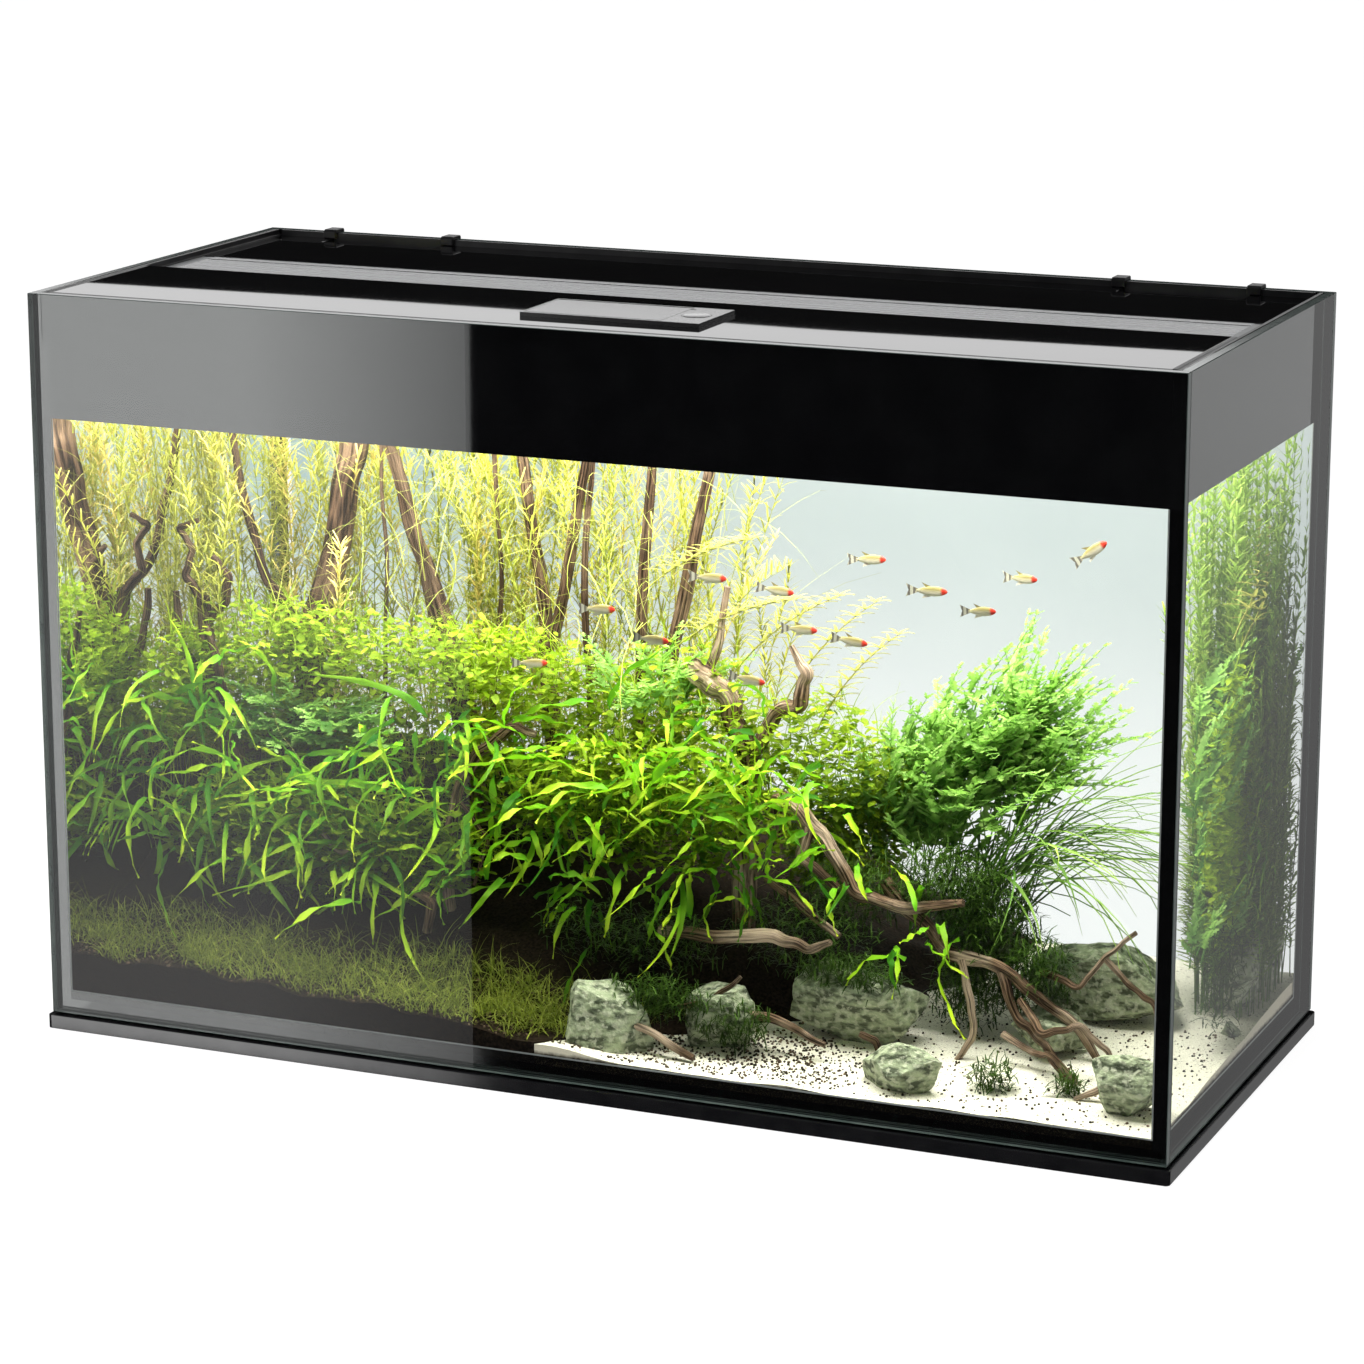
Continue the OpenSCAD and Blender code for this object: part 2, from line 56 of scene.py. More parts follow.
# ---- Base rim ----
# A moulded rim of black plastic that the glass stands in, with a shallow neck under the panes.
# Its edges are rounded by the mould, and a foam mat inside it carries the floor pane.
class Sock:
    """One shader socket that takes part in Python sums."""

    def __init__(self, tree, socket):
        self.tree, self.socket = tree, socket

    def maths(self, operation, *terms):
        return self.tree.node("ShaderNodeMath", {"operation": operation}, terms)

    def __add__(self, other):
        return self.maths("ADD", self, other)

    def __sub__(self, other):
        return self.maths("SUBTRACT", self, other)

    def __rsub__(self, other):
        return self.maths("SUBTRACT", other, self)

    def __mul__(self, other):
        return self.maths("MULTIPLY", self, other)

    def __pow__(self, other):
        return self.maths("POWER", self, other)

    __radd__ = __add__
    __rmul__ = __mul__


class Nodes:
    """A node tree, where one method adds every kind of node."""

    def __init__(self, tree):
        self.tree = tree

    def plug(self, socket, value):
        if isinstance(value, Sock):
            self.tree.links.new(value.socket, socket)
        else:
            socket.default_value = (*value, 1) if socket.type == "RGBA" else value

    def node(self, kind, settings=None, inputs=(), output=0):
        made = self.tree.nodes.new(kind)
        for key, value in (settings or {}).items():
            setattr(made, key, value)
        for key, value in inputs.items() if isinstance(inputs, dict) else enumerate(inputs):
            self.plug(made.inputs[key], value)
        return Sock(self, made.outputs[output])


class Finish(Nodes):
    """A material: values that are the same all over, then what varies over the surface."""

    def __init__(self, name, **sockets):
        self.material = bpy.data.materials.new(name)
        self.material.use_nodes = True
        super().__init__(self.material.node_tree)
        self.shader = self.tree.nodes["Principled BSDF"]
        for key, value in sockets.items():
            self.set(key.replace("_", " "), value)

    def set(self, key, value):
        self.plug(self.shader.inputs[key], value)
        return self

    def noise(self, scale, stretch=(1, 1, 1), detail=3, place=None):
        place = place or self.node("ShaderNodeTexCoord", output="Object")
        place = self.node("ShaderNodeMapping", None, {"Vector": place, "Scale": stretch})
        return self.node("ShaderNodeTexNoise", None, {"Vector": place, "Scale": scale, "Detail": detail})

    def along(self, axis_name):
        """Where a spot lies along X, Y or Z."""
        place = self.node("ShaderNodeTexCoord", output="Object")
        return self.node("ShaderNodeSeparateXYZ", None, [place], axis_name)

    def ramp(self, value, low, high, curve="LINEAR"):
        """0 where a value is at its low end, 1 at its high end."""
        ends = {"Value": value, "From Min": low, "From Max": high}
        return self.node("ShaderNodeMapRange", {"interpolation_type": curve}, ends)

    def attribute(self, name, output="Fac"):
        return self.node("ShaderNodeAttribute", {"attribute_name": name}, output=output)

    def blend(self, amount, first, second):
        return self.node("ShaderNodeMix", {"data_type": "RGBA"}, {0: amount, 6: first, 7: second}, 2)

    def mottle(self, first, second, scale, stretch=(1, 1, 1), detail=3):
        spots = (self.noise(scale, stretch, detail) - 0.35) * 3.3
        return self.set("Base Color", self.blend(spots, first, second))

    def wear(self, low, high, scale, stretch=(1, 1, 1)):
        return self.set("Roughness", self.noise(scale, stretch) * (high - low) + low)

    def grain(self, scale, height, stretch=(1, 1, 1), detail=3):
        bump = {"Height": self.noise(scale, stretch, detail), "Distance": height}
        return self.set("Normal", self.node("ShaderNodeBump", None, bump))


def only(piece):
    """Leaves just this piece selected and active."""
    bpy.ops.object.select_all(action="DESELECT")
    piece.select_set(True)
    bpy.context.view_layer.objects.active = piece


def soften(piece, width, segments=2, angle=30):
    """Rounds a piece's edges, and shades it so that its flat faces stay flat."""
    only(piece)
    bevel = piece.modifiers.new("edges", "BEVEL")
    bevel.width, bevel.segments, bevel.angle_limit = width, segments, math.radians(angle)
    bpy.ops.object.modifier_apply(modifier=bevel.name)
    bpy.ops.object.shade_smooth_by_angle(angle=math.radians(40))
    piece.modifiers.new("flats", "WEIGHTED_NORMAL").keep_sharp = True
    bpy.ops.object.modifier_apply(modifier="flats")


def carry(piece, body, finish=None):
    """Makes a piece move with its body, and gives it a finish."""
    if finish:
        piece.data.materials.clear()
        piece.data.materials.append(finish.material)
    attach(piece, body)
    return piece


def refine(node, name, body, finish, width=0.0006, segments=2):
    """A CAD node's own shape with rounded edges, which then stands for that node."""
    piece = bpy.data.objects.new(name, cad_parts[node].data.copy())
    scene.collection.objects.link(piece)
    only(piece)
    bpy.ops.object.mode_set(mode="EDIT")
    bpy.ops.mesh.select_all(action="SELECT")
    bpy.ops.mesh.remove_doubles(threshold=1e-5)
    bpy.ops.mesh.normals_make_consistent(inside=False)
    bpy.ops.mesh.dissolve_limited(angle_limit=math.radians(1))
    bpy.ops.object.mode_set(mode="OBJECT")
    soften(piece, width, segments)
    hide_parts(node)
    return carry(piece, body, finish)


def coat(finish, *names):
    """Gives CAD nodes that stay as they are a finish."""
    for name in names:
        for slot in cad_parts[name].material_slots:
            slot.material = finish.material


rim_plastic = Finish("rim_plastic", IOR=2.35)
rim_plastic.mottle((0.005, 0.005, 0.006), (0.009, 0.009, 0.010), 60).wear(0.06, 0.12, 90)
refine("base_frame", "base_rim", "tank", rim_plastic, 0.0009, 3)
foam = Finish("closed_cell_foam", Roughness=0.95)
coat(foam.mottle((0.05, 0.055, 0.06), (0.08, 0.085, 0.09), 300).grain(900, 0.0004), "support_mat")

# ---- Glass ----
# Five panes of float glass, 8 and 10 mm thick, with ground and polished edges that look green.
# Their inner faces meet the water, so they mirror the planting at a shallow angle.
GLASS_TINT = (0.972, 0.986, 0.98)
WATER_SIDE_IOR = 0.75
FILM_LOW, FILM_REAR = 0.534, 0.1875


def pane_finish(name, ior, tint, wet=False):
    """Clear glass that mirrors by its angle on the face a ray meets first, and lets the rest by.
    A wet face mirrors only where no film covers it."""
    finish = Finish(name)
    tree = finish.tree
    facing = 1 - finish.node("ShaderNodeNewGeometry", output="Backfacing")
    mirror = finish.node("ShaderNodeFresnel", None, {"IOR": ior}) * facing
    for axis_name, edge in (("Z", FILM_LOW), ("Y", FILM_REAR)) if wet else ():
        spot = finish.along(axis_name)
        mirror = mirror * spot.maths("LESS_THAN", spot, edge)
    clear = finish.node("ShaderNodeBsdfTransparent", None, {"Color": tint})
    gloss = finish.node("ShaderNodeBsdfGlossy", None, {"Color": (1, 1, 1), "Roughness": 0.0})
    both = finish.node("ShaderNodeMixShader", None, [mirror, clear, gloss])
    tree.nodes.remove(finish.shader)
    tree.links.new(both.socket, tree.nodes["Material Output"].inputs["Surface"])
    return finish


outer_glass = pane_finish("glass_outer_face", 1.5, GLASS_TINT)
inner_glass = pane_finish("glass_water_face", WATER_SIDE_IOR, (1, 1, 1), True)
glass_edge = Finish("glass_polished_edge", Roughness=0.08, IOR=2.0)
glass_edge.mottle((0.045, 0.062, 0.058), (0.075, 0.095, 0.088), 40)
floor_edge = Finish("floor_pane_green_edge", Roughness=0.05, IOR=1.6)
floor_edge.mottle((0.001, 0.016, 0.013), (0.003, 0.034, 0.027), 40)

INWARD = {"front": (0, 1, 0), "rear": (0, -1, 0), "left": (1, 0, 0), "right": (-1, 0, 0), "floor": (0, 0, 1)}
for side, inward in INWARD.items():
    pane = refine(f"{side}_pane", f"{side}_glass", "tank", outer_glass, 0.0005, 1)
    pane.data.materials.append(inner_glass.material)
    pane.data.materials.append((floor_edge if side == "floor" else glass_edge).material)
    for face in pane.data.polygons:
        turned = face.normal.dot(Vector(inward))
        face.material_index = 1 if turned > 0.99 else 0 if turned < -0.99 else 2

# ---- Silicone ----
# Black silicone joins the panes, with a bead left inside each corner and round the floor.
# A thin lip of it, rubbed down along the glass, runs round each window. It carries a painted highlight: a paler
# grey and a faint glow stand in for the light it catches.
silicone = Finish("black_silicone", IOR=2.6)
silicone.mottle((0.002, 0.002, 0.0025), (0.004, 0.004, 0.0045), 120).wear(0.03, 0.06, 60)
coat(silicone, "floor_seal", "front_left_seal", "front_right_seal", "rear_left_seal", "rear_right_seal")

# Painted highlight: the lip is paler than the black silicone and glows a little, in place of the tank's light on
# its edge.
highlit_lip_silicone = Finish("silicone_lip_painted_highlight", Roughness=0.35, Emission_Strength=0.12)
highlit_lip_silicone.mottle((0.10, 0.105, 0.105), (0.17, 0.175, 0.17), 80)
highlit_lip_silicone.set("Emission Color", (0.75, 0.8, 0.78))
LIP_WIDTH, LIP_THICKNESS = 0.0012, 0.0006
WINDOW_LOW, WINDOW_HIGH = 0.0316, 0.56


def window_lip(name, span, stand):
    """A flat ring on the inside of a pane round its window. The film hides its top."""
    bpy.ops.mesh.primitive_plane_add(size=1)
    ring = bpy.context.object
    ring.name = name
    bpy.ops.object.mode_set(mode="EDIT")
    bpy.ops.transform.resize(value=(span[1] - span[0], WINDOW_HIGH - WINDOW_LOW, 1))
    bpy.ops.transform.translate(value=((span[0] + span[1]) / 2, (WINDOW_LOW + WINDOW_HIGH) / 2, 0))
    bpy.ops.mesh.inset(thickness=LIP_WIDTH, depth=0)
    bpy.ops.mesh.delete(type="FACE")
    bpy.ops.mesh.select_all(action="SELECT")
    bpy.ops.mesh.extrude_region_move(TRANSFORM_OT_translate={"value": (0, 0, LIP_THICKNESS)})
    bpy.ops.mesh.select_all(action="SELECT")
    bpy.ops.mesh.normals_make_consistent(inside=False)
    bpy.ops.object.mode_set(mode="OBJECT")
    ring.data.transform(stand)
    return carry(ring, "tank", highlit_lip_silicone)


upright = Matrix.Rotation(math.radians(90), 4, "X")
stand_front = Matrix.Translation((0, -0.2063, 0)) @ upright
window_lip("front_window_lip", (-0.4859, 0.4859), stand_front)
stand_side = Matrix.Translation((0.4913, 0, 0)) @ Matrix.Rotation(math.radians(90), 4, "Z") @ upright
window_lip("right_window_lip", (-0.2009, 0.1868), stand_side)

# ---- Films ----
# Black film is bonded behind the top of each pane and down the rear of the side panes.
# A frosted pale blue film on the back of the rear pane. Its light is painted: it glows by its own emission in
# place of the lamp's light on it.
black_film = Finish("black_film", Roughness=0.02, IOR=2.5)
black_film.mottle((0.0015, 0.0015, 0.002), (0.003, 0.003, 0.0035), 30)
coat(black_film, "front_band", "rear_band", "left_band", "right_band")


def join(pieces, name):
    """One piece made of several."""
    bpy.ops.object.select_all(action="DESELECT")
    for piece in pieces:
        piece.select_set(True)
    bpy.context.view_layer.objects.active = pieces[0]
    bpy.ops.object.join()
    pieces[0].name = name
    return pieces[0]


# Narrow returns of the film close the gap at each corner, one along each pane
RETURNS = [(0.4888, 0.2067, (0.0054, 0.0004, 0.04)), (0.4916, 0.2036, (0.0004, 0.0052, 0.04))]
returns = []
for right in (-1, 1):
    for rear in (-1, 1):
        for x, y, size in RETURNS:
            bpy.ops.mesh.primitive_cube_add(size=1, location=(right * x, rear * y, 0.62))
            bpy.ops.transform.resize(value=size)
            returns.append(bpy.context.object)
corners = join(returns, "film_corner_strips")
bpy.ops.object.transform_apply(location=True, rotation=True, scale=True)
carry(corners, "tank", black_film)

backdrop = Finish("frosted_backdrop_film_painted_glow", Roughness=0.7, Emission_Strength=1.0)
# Painted light: the emission turns white towards the bottom and a darker, bluer grey towards the left.
painted_glow_low_share = backdrop.ramp(backdrop.along("Z"), 0.44, 0.14, "SMOOTHSTEP")
left_share = backdrop.ramp(backdrop.along("X"), 0.10, -0.45, "SMOOTHSTEP")
upper = backdrop.blend(left_share, (0.63, 0.70, 0.68), (0.44, 0.58, 0.60))
backdrop.set("Emission Color", backdrop.blend(painted_glow_low_share, upper, (0.96, 0.98, 0.97)))
backdrop.mottle((0.025, 0.028, 0.028), (0.035, 0.038, 0.038), 8)
coat(backdrop, "background_film")

# ---- Rails and trims ----
# Extruded black plastic rails inside the side panes: the lid rides on the upper ledge and the
# lamp beam on the lower one. Plain trims run along the front and rear panes.
frame_plastic = Finish("rail_plastic", Specular_IOR_Level=0.5)
frame_plastic.mottle((0.010, 0.010, 0.011), (0.018, 0.018, 0.019), 50).wear(0.28, 0.42, 80).grain(800, 0.00005)
for node in ("left_rail", "right_rail", "front_trim", "rear_trim"):
    refine(node, f"{node}_profile", "tank", frame_plastic, 0.0003)
for side in ("left", "right"):
    refine(f"{side}_runner", f"{side}_lid_runner", "lid", frame_plastic, 0.0004)

# ---- Rear cover ----
# A polished black sheet with a lip along its front and two cut-outs for hoses in its rear edge.
# Four moulded clips hook over the rear pane and hold it down.
cover_gloss = Finish("polished_black_sheet", Roughness=0.012, Specular_IOR_Level=0.5)
cover_gloss.mottle((0.002, 0.002, 0.0022), (0.003, 0.003, 0.0034), 12)
refine("rear_cover", "rear_cover_sheet", "tank", cover_gloss, 0.0006, 3)
refine("cover_clips", "rear_cover_clips", "tank", frame_plastic, 0.0008, 3)

# ---- Front lid ----
# The same polished sheet, cut out for the control plate. It slides back over the lamp.
refine("front_lid", "front_lid_sheet", "lid", cover_gloss, 0.0007, 3)

# ---- Control plate ----
# A satin black moulding set into the lid, with a feeding hole under a hinged flap and a round
# light button in its own well. The flap turns on a steel pin.
control_plastic = Finish("satin_control_plastic", IOR=2.0, Coat_Weight=1.0, Coat_Roughness=0.2, Coat_IOR=1.8)
control_plastic.mottle((0.014, 0.014, 0.015), (0.021, 0.021, 0.022), 40).wear(0.2, 0.27, 120)
refine("control_plate", "control_plate_moulding", "lid", control_plastic, 0.0005, 3)
refine("feed_flap", "feeding_flap", "flap", control_plastic, 0.0004, 2)
refine("light_button", "light_button_cap", "button", control_plastic, 0.0003, 2)
pin_steel = Finish("ground_steel", Metallic=1.0)
coat(pin_steel.mottle((0.55, 0.56, 0.58), (0.66, 0.67, 0.69), 1, (40, 900, 900)).wear(0.18, 0.3, 300), "flap_pin")
dome_rubber = Finish("moulded_rubber", Roughness=0.7)
dome_rubber.mottle((0.02, 0.02, 0.02), (0.035, 0.035, 0.035), 200).grain(900, 0.00005)
coat(dome_rubber, "button_dome", "lamp_gland")
lacquer = Finish("lacquered_board", Roughness=0.3)
coat(lacquer.mottle((0.01, 0.09, 0.035), (0.018, 0.13, 0.05), 150), "switch_board")

# ---- Lamp beam ----
# A brushed and anodised aluminium extrusion that carries a board with two rows of light sources
# over an opal lens. Grey moulded ends, held by two screws each, rest on the side rails.
lamp_metal = Finish("brushed_lamp_metal", Metallic=0.85)
lamp_metal.mottle((0.30, 0.305, 0.31), (0.38, 0.385, 0.39), 1, (6, 700, 700)).wear(0.22, 0.32, 1, (6, 500, 500))
lamp_metal.grain(1, 0.00003, (10, 1400, 1400))
refine("lamp_housing", "lamp_beam", "lamp", lamp_metal, 0.0005, 2)
end_plastic = Finish("lamp_end_plastic", Specular_IOR_Level=0.5)
end_plastic.mottle((0.13, 0.135, 0.14), (0.17, 0.175, 0.18), 60).wear(0.3, 0.4, 80).grain(900, 0.00004)
for side in ("left", "right"):
    refine(f"{side}_lamp_end", f"{side}_lamp_bracket", "lamp", end_plastic, 0.0006, 2)
led_white = Finish("lamp_board_white", Roughness=0.5, Emission_Strength=1.2, Emission_Color=(1, 0.98, 0.92))
coat(led_white.mottle((0.78, 0.79, 0.75), (0.85, 0.86, 0.82), 90), "led_board")
lens = Finish("opal_lens", Roughness=0.3, Alpha=0.75, Emission_Strength=0.7, Emission_Color=(1, 0.99, 0.95))
coat(lens.mottle((0.85, 0.87, 0.87), (0.92, 0.94, 0.94), 20), "lamp_lens")
screw_steel = Finish("zinc_plated_steel", Metallic=1.0, Roughness=0.35)
coat(screw_steel.mottle((0.42, 0.43, 0.45), (0.55, 0.56, 0.58), 500), "lamp_screws")

# ---- Soil and sand ----
# Dark baked soil banked up at the left and rear, and pale sand in front of it at the right.
# Both are poured against the glass, so their cut face shows through it.
IN_X, IN_Y = 0.4906, 0.2062
FLOOR = 0.0242
SHORE = ([-0.207, -0.13, -0.06, 0.0, 0.1, 0.207], [-0.052, 0.03, 0.12, 0.195, 0.24, 0.26])
SOIL_FRONT = ([-0.49, -0.36, -0.26, -0.17, -0.095, -0.05, 0.4],
              [0.064, 0.062, 0.056, 0.053, 0.047, 0.042, 0.040])
SOIL_BANK = ([-0.207, -0.15, -0.10, 0.05, 0.21], [0, 0.006, 0.03, 0.085, 0.112])


def smooth(value, low, high):
    part = np.clip((value - low) / (high - low), 0, 1)
    return part * part * (3 - 2 * part)


def shore(y):
    """Where the soil gives way to the sand, as X for a given Y."""
    return np.interp(y, *SHORE) + 0.006 * np.sin(y * 90) + 0.004 * np.sin(y * 210 + 1)


def ripple(x, y, size, height):
    spots = zip(np.ravel(x), np.ravel(y))
    lumps = np.array([noise.noise(Vector((a / size, b / size, 3.1))) for a, b in spots])
    return height * lumps.reshape(np.shape(x))


def sand_level(x, y):
    slope = 0.007 * smooth(x, 0.06, -0.04) + 0.014 * np.clip((y + 0.207) / 0.41, 0, 1)
    return 0.0335 + slope + ripple(x, y, 0.05, 0.0022)


def soil_level(x, y):
    bank = np.interp(y, *SOIL_BANK) * (1 - 0.72 * smooth(x, 0.0, 0.2))
    full = np.interp(x, *SOIL_FRONT) + bank + ripple(x, y, 0.035, 0.006)
    near = smooth(shore(y) - x, 0.0, 0.075)
    return sand_level(x, y) + 0.0015 + (full - sand_level(x, y)) * near


def inside(points, spare=0.0, foot=0.0):
    """Keeps points between the panes and over the floor pane."""
    return np.clip(points, (-0.4895 + spare, -0.2055, FLOOR + foot), (0.4895 - spare, 0.2055, 0.6))


def bed(name, columns, rows, place, level, finish, node):
    """A grid laid over the ground at its level, with walls down to the floor pane."""
    bpy.ops.mesh.primitive_grid_add(x_subdivisions=columns, y_subdivisions=rows, size=1)
    ground = bpy.context.object
    ground.name = name
    flat = np.array([v.co[:] for v in ground.data.vertices])
    y = IN_Y * 2 * flat[:, 1]
    x = place(flat[:, 0] + 0.5, y)
    top = np.stack([x, y, level(x, y)], 1)
    ground.data.vertices.foreach_set("co", top.ravel())
    bpy.ops.object.mode_set(mode="EDIT")
    bpy.ops.mesh.select_all(action="SELECT")
    bpy.ops.mesh.extrude_region_move(TRANSFORM_OT_translate={"value": (0, 0, -0.001)})
    bpy.ops.object.mode_set(mode="OBJECT")
    for vertex in ground.data.vertices:
        if vertex.select:
            vertex.co.z = FLOOR
    bpy.ops.object.mode_set(mode="EDIT")
    bpy.ops.mesh.select_all(action="SELECT")
    bpy.ops.mesh.normals_make_consistent(inside=False)
    bpy.ops.object.mode_set(mode="OBJECT")
    bpy.ops.object.shade_smooth_by_angle(angle=math.radians(50))
    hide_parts(node)
    return carry(ground, "tank", finish)


soil = Finish("baked_soil", Roughness=0.95, Specular_IOR_Level=0.15)
soil.mottle((0.005, 0.0035, 0.0025), (0.022, 0.015, 0.010), 420, detail=5).grain(330, 0.0012)
bed("soil_bank", 110, 60, lambda u, y: -IN_X + (shore(y) + IN_X) * u, soil_level, soil, "soil_bed")

sand = Finish("pale_sand", Roughness=0.95, Specular_IOR_Level=0.2)
grains = sand.blend((sand.noise(1500, detail=2) - 0.3) * 3.0, (0.52, 0.49, 0.37), (0.90, 0.88, 0.75))
grit = sand.ramp(sand.noise(420, detail=1), 0.66, 0.71)
sand.set("Base Color", sand.blend(grit, grains, (0.10, 0.075, 0.05))).grain(900, 0.0007)
beach = bed("sand_beach", 90, 60, lambda u, y: shore(y) + (IN_X - shore(y)) * u, sand_level, sand, "sand_bed")
cut_face = Finish("sand_cut_face", Roughness=0.95, Specular_IOR_Level=0.1)
layer = cut_face.ramp(cut_face.along("Z") + cut_face.noise(160) * 0.004, 0.035, 0.0385)
mixed = cut_face.blend((cut_face.noise(600) - 0.5) * 4, (0.018, 0.013, 0.006), (0.085, 0.068, 0.035))
cut_face.set("Base Color", cut_face.blend(layer, mixed, (0.75, 0.70, 0.58))).grain(500, 0.0006)
beach.data.materials.append(cut_face.material)
for face in beach.data.polygons:
    face.material_index = 1 if face.normal.z < 0.5 else 0


def taken():
    """The points and faces of the piece just made, which is then thrown away."""
    piece = bpy.context.object
    points = np.array([v.co[:] for v in piece.data.vertices])
    faces = [list(face.vertices) for face in piece.data.polygons]
    bpy.data.objects.remove(piece)
    return points, faces


def shape(steps, cells, outline):
    """A flat grid from 0 to 1 along X, bent into a leaf or a blade by its outline."""
    bpy.ops.mesh.primitive_grid_add(x_subdivisions=steps, y_subdivisions=cells, size=1)
    points, faces = taken()
    return np.stack(np.broadcast_arrays(*outline(points[:, 0] + 0.5, points[:, 1])), 1), np.array(faces)


def grow(form, at, heading, rise, length, width, droop=0, swirl=0, twist=0, tint=0.5):
    """Bends one copy of a form at each place. It leaves at heading and rise, sinks by droop along
    its length, swings sideways by swirl, and turns about its own line by twist."""
    points, faces = form
    at = np.atleast_2d(at)
    heading, rise, length, width, droop, swirl, twist, tint = (
        np.broadcast_to(np.asarray(a, float), len(at))[:, None]
        for a in (heading, rise, length, width, droop, swirl, twist, tint))
    u, v, w = points.T
    sink = np.where(np.abs(droop) < 1e-3, 1e-3, droop)
    pitch = rise - sink * u
    proud = width * (v * np.sin(twist) + w * np.cos(twist))
    forward = length * (np.sin(rise) - np.sin(pitch)) / sink - proud * np.sin(pitch)
    sideways = length * swirl * u * u + width * (v * np.cos(twist) - w * np.sin(twist))
    x = at[:, :1] + forward * np.cos(heading) - sideways * np.sin(heading)
    y = at[:, 1:2] + forward * np.sin(heading) + sideways * np.cos(heading)
    z = at[:, 2:3] + length * (np.cos(pitch) - np.cos(rise)) / sink + proud * np.cos(pitch)
    cells = faces[None] + len(points) * np.arange(len(at))[:, None, None]
    return (np.stack([x, y, z], -1).reshape(-1, 3), cells.reshape(-1, faces.shape[1]),
            np.tile(u, len(at)), np.repeat(tint[:, 0], len(points)))


def made(name, points, faces, along, tint):
    """A smooth mesh that tells its finish how far along and how bright each spot is."""
    mesh = bpy.data.meshes.new(name)
    mesh.from_pydata(points.tolist(), [], faces)
    for key, values in (("along", along), ("tint", tint)):
        mesh.attributes.new(key, "FLOAT", "POINT").data.foreach_set("value", values.astype(np.float32))
    piece = bpy.data.objects.new(name, mesh)
    scene.collection.objects.link(piece)
    only(piece)
    bpy.ops.object.shade_smooth_by_angle(angle=math.radians(60))
    return piece


def gather(name, parts, finish, node=None):
    """One mesh of many grown copies, kept between the panes."""
    points, along, tint = (np.concatenate([part[k] for part in parts]) for k in (0, 2, 3))
    starts = np.cumsum([0] + [len(part[0]) for part in parts])
    faces = [face for part, start in zip(parts, starts) for face in (part[1] + start).tolist()]
    piece = made(name, inside(points), faces, along, tint)
    if node:
        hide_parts(node)
    return carry(piece, "tank", finish)


chance = np.random.default_rng(11)
TURN = 6.28


def draws(count):
    """Two ways to draw a value for each of count things: between two limits, or about a middle."""
    return (lambda low, high: chance.uniform(low, high, count),
            lambda middle, width: chance.normal(middle, width, count))


def rows(count, x_range, y_range):
    return chance.uniform(*x_range, count), chance.uniform(*y_range, count)


bpy.ops.mesh.primitive_ico_sphere_add(subdivisions=1, radius=0.5)
points, faces = taken()
pebble = (points, np.array(faces))
grit_finish = Finish("dark_grit", Roughness=0.85)
grit_tone = grit_finish.blend(grit_finish.attribute("tint"), (0.016, 0.011, 0.007), (0.16, 0.11, 0.07))
grit_finish.set("Base Color", grit_tone)


def strewn(count, x_range, y_range, level, size):
    """Single grains scattered over the ground."""
    x, y = rows(count, x_range, y_range)
    if level is sand_level:
        keep = x > shore(y) + 0.002
        x, y = x[keep], y[keep]
    spin = chance.uniform(0, TURN, (3, len(x)))
    even, _ = draws(len(x))
    scale = even(*size)
    at = np.stack([x, y, level(x, y) + 0.0003], 1)
    return grow(pebble, at, spin[0], spin[1], scale, scale * even(0.6, 1), twist=spin[2], tint=even(0, 1) ** 2)


gather("sand_grit", [strewn(900, (-0.05, 0.22), (-0.20, -0.10), sand_level, (0.0014, 0.0032)),
                     strewn(900, (0.1, 0.485), (-0.2, 0.05), sand_level, (0.0014, 0.0034)),
                     strewn(400, (0.0, 0.18), (-0.17, -0.09), sand_level, (0.002, 0.004))],
       grit_finish)
granules = strewn(1500, (-0.485, -0.05), (-0.205, -0.13), soil_level, (0.0018, 0.0036))
gather("soil_granules", [granules], grit_finish)

# ---- Stones ----
# Grey-green stones with broken faces and worn edges, set in the sand and against the soil.
stone_finish = Finish("weathered_stone", Specular_IOR_Level=0.3)
dark_veins = (stone_finish.noise(70, (1, 1, 2.4), 12) - 0.40) * 5.5
body_tone = stone_finish.blend(dark_veins, (0.065, 0.078, 0.048), (0.33, 0.38, 0.24))
crust = stone_finish.ramp(stone_finish.noise(190, detail=9), 0.50, 0.60)
stone_finish.set("Base Color", stone_finish.blend(crust * 0.6, body_tone, (0.52, 0.54, 0.40)))
stone_finish.wear(0.6, 0.9, 40).grain(170, 0.005, detail=12)
BROKEN_FACES = 18


def turned(points, a, b, angle):
    """Points turned from axis a towards axis b."""
    out = points.copy()
    out[:, a] = points[:, a] * math.cos(angle) - points[:, b] * math.sin(angle)
    out[:, b] = points[:, a] * math.sin(angle) + points[:, b] * math.cos(angle)
    return out


def boulder(name, centre, size, turn, seed):
    """A sphere flattened by broken faces and roughened, standing on a flat foot."""
    bpy.ops.mesh.primitive_ico_sphere_add(subdivisions=5, radius=1)
    stone = bpy.context.object
    stone.name = name
    draw = np.random.default_rng(seed)
    points = np.array([v.co[:] for v in stone.data.vertices])
    for _ in range(BROKEN_FACES):
        normal = draw.normal(size=3)
        normal /= np.linalg.norm(normal)
        over = points @ normal - draw.uniform(0.42, 0.8)
        points -= np.outer(np.clip(over, 0, None) * 0.94, normal)
    points /= np.abs(points).max(0)
    points *= np.array(size) / 2
    shift = Vector((seed, 0, 0))
    rough = np.array([noise.fractal(Vector(p * 45) + shift, 0.7, 2.1, 5) for p in points])
    points += points / np.linalg.norm(points, axis=1)[:, None] * rough[:, None] * 0.0022
    points[:, 2] = np.maximum(points[:, 2], -size[2] * 0.4)
    points = inside(turned(points, 0, 1, turn) + centre, 0.0005, 0.001)
    stone.data.vertices.foreach_set("co", points.ravel())
    bpy.ops.object.shade_smooth_by_angle(angle=math.radians(24))
    return carry(stone, "tank", stone_finish)


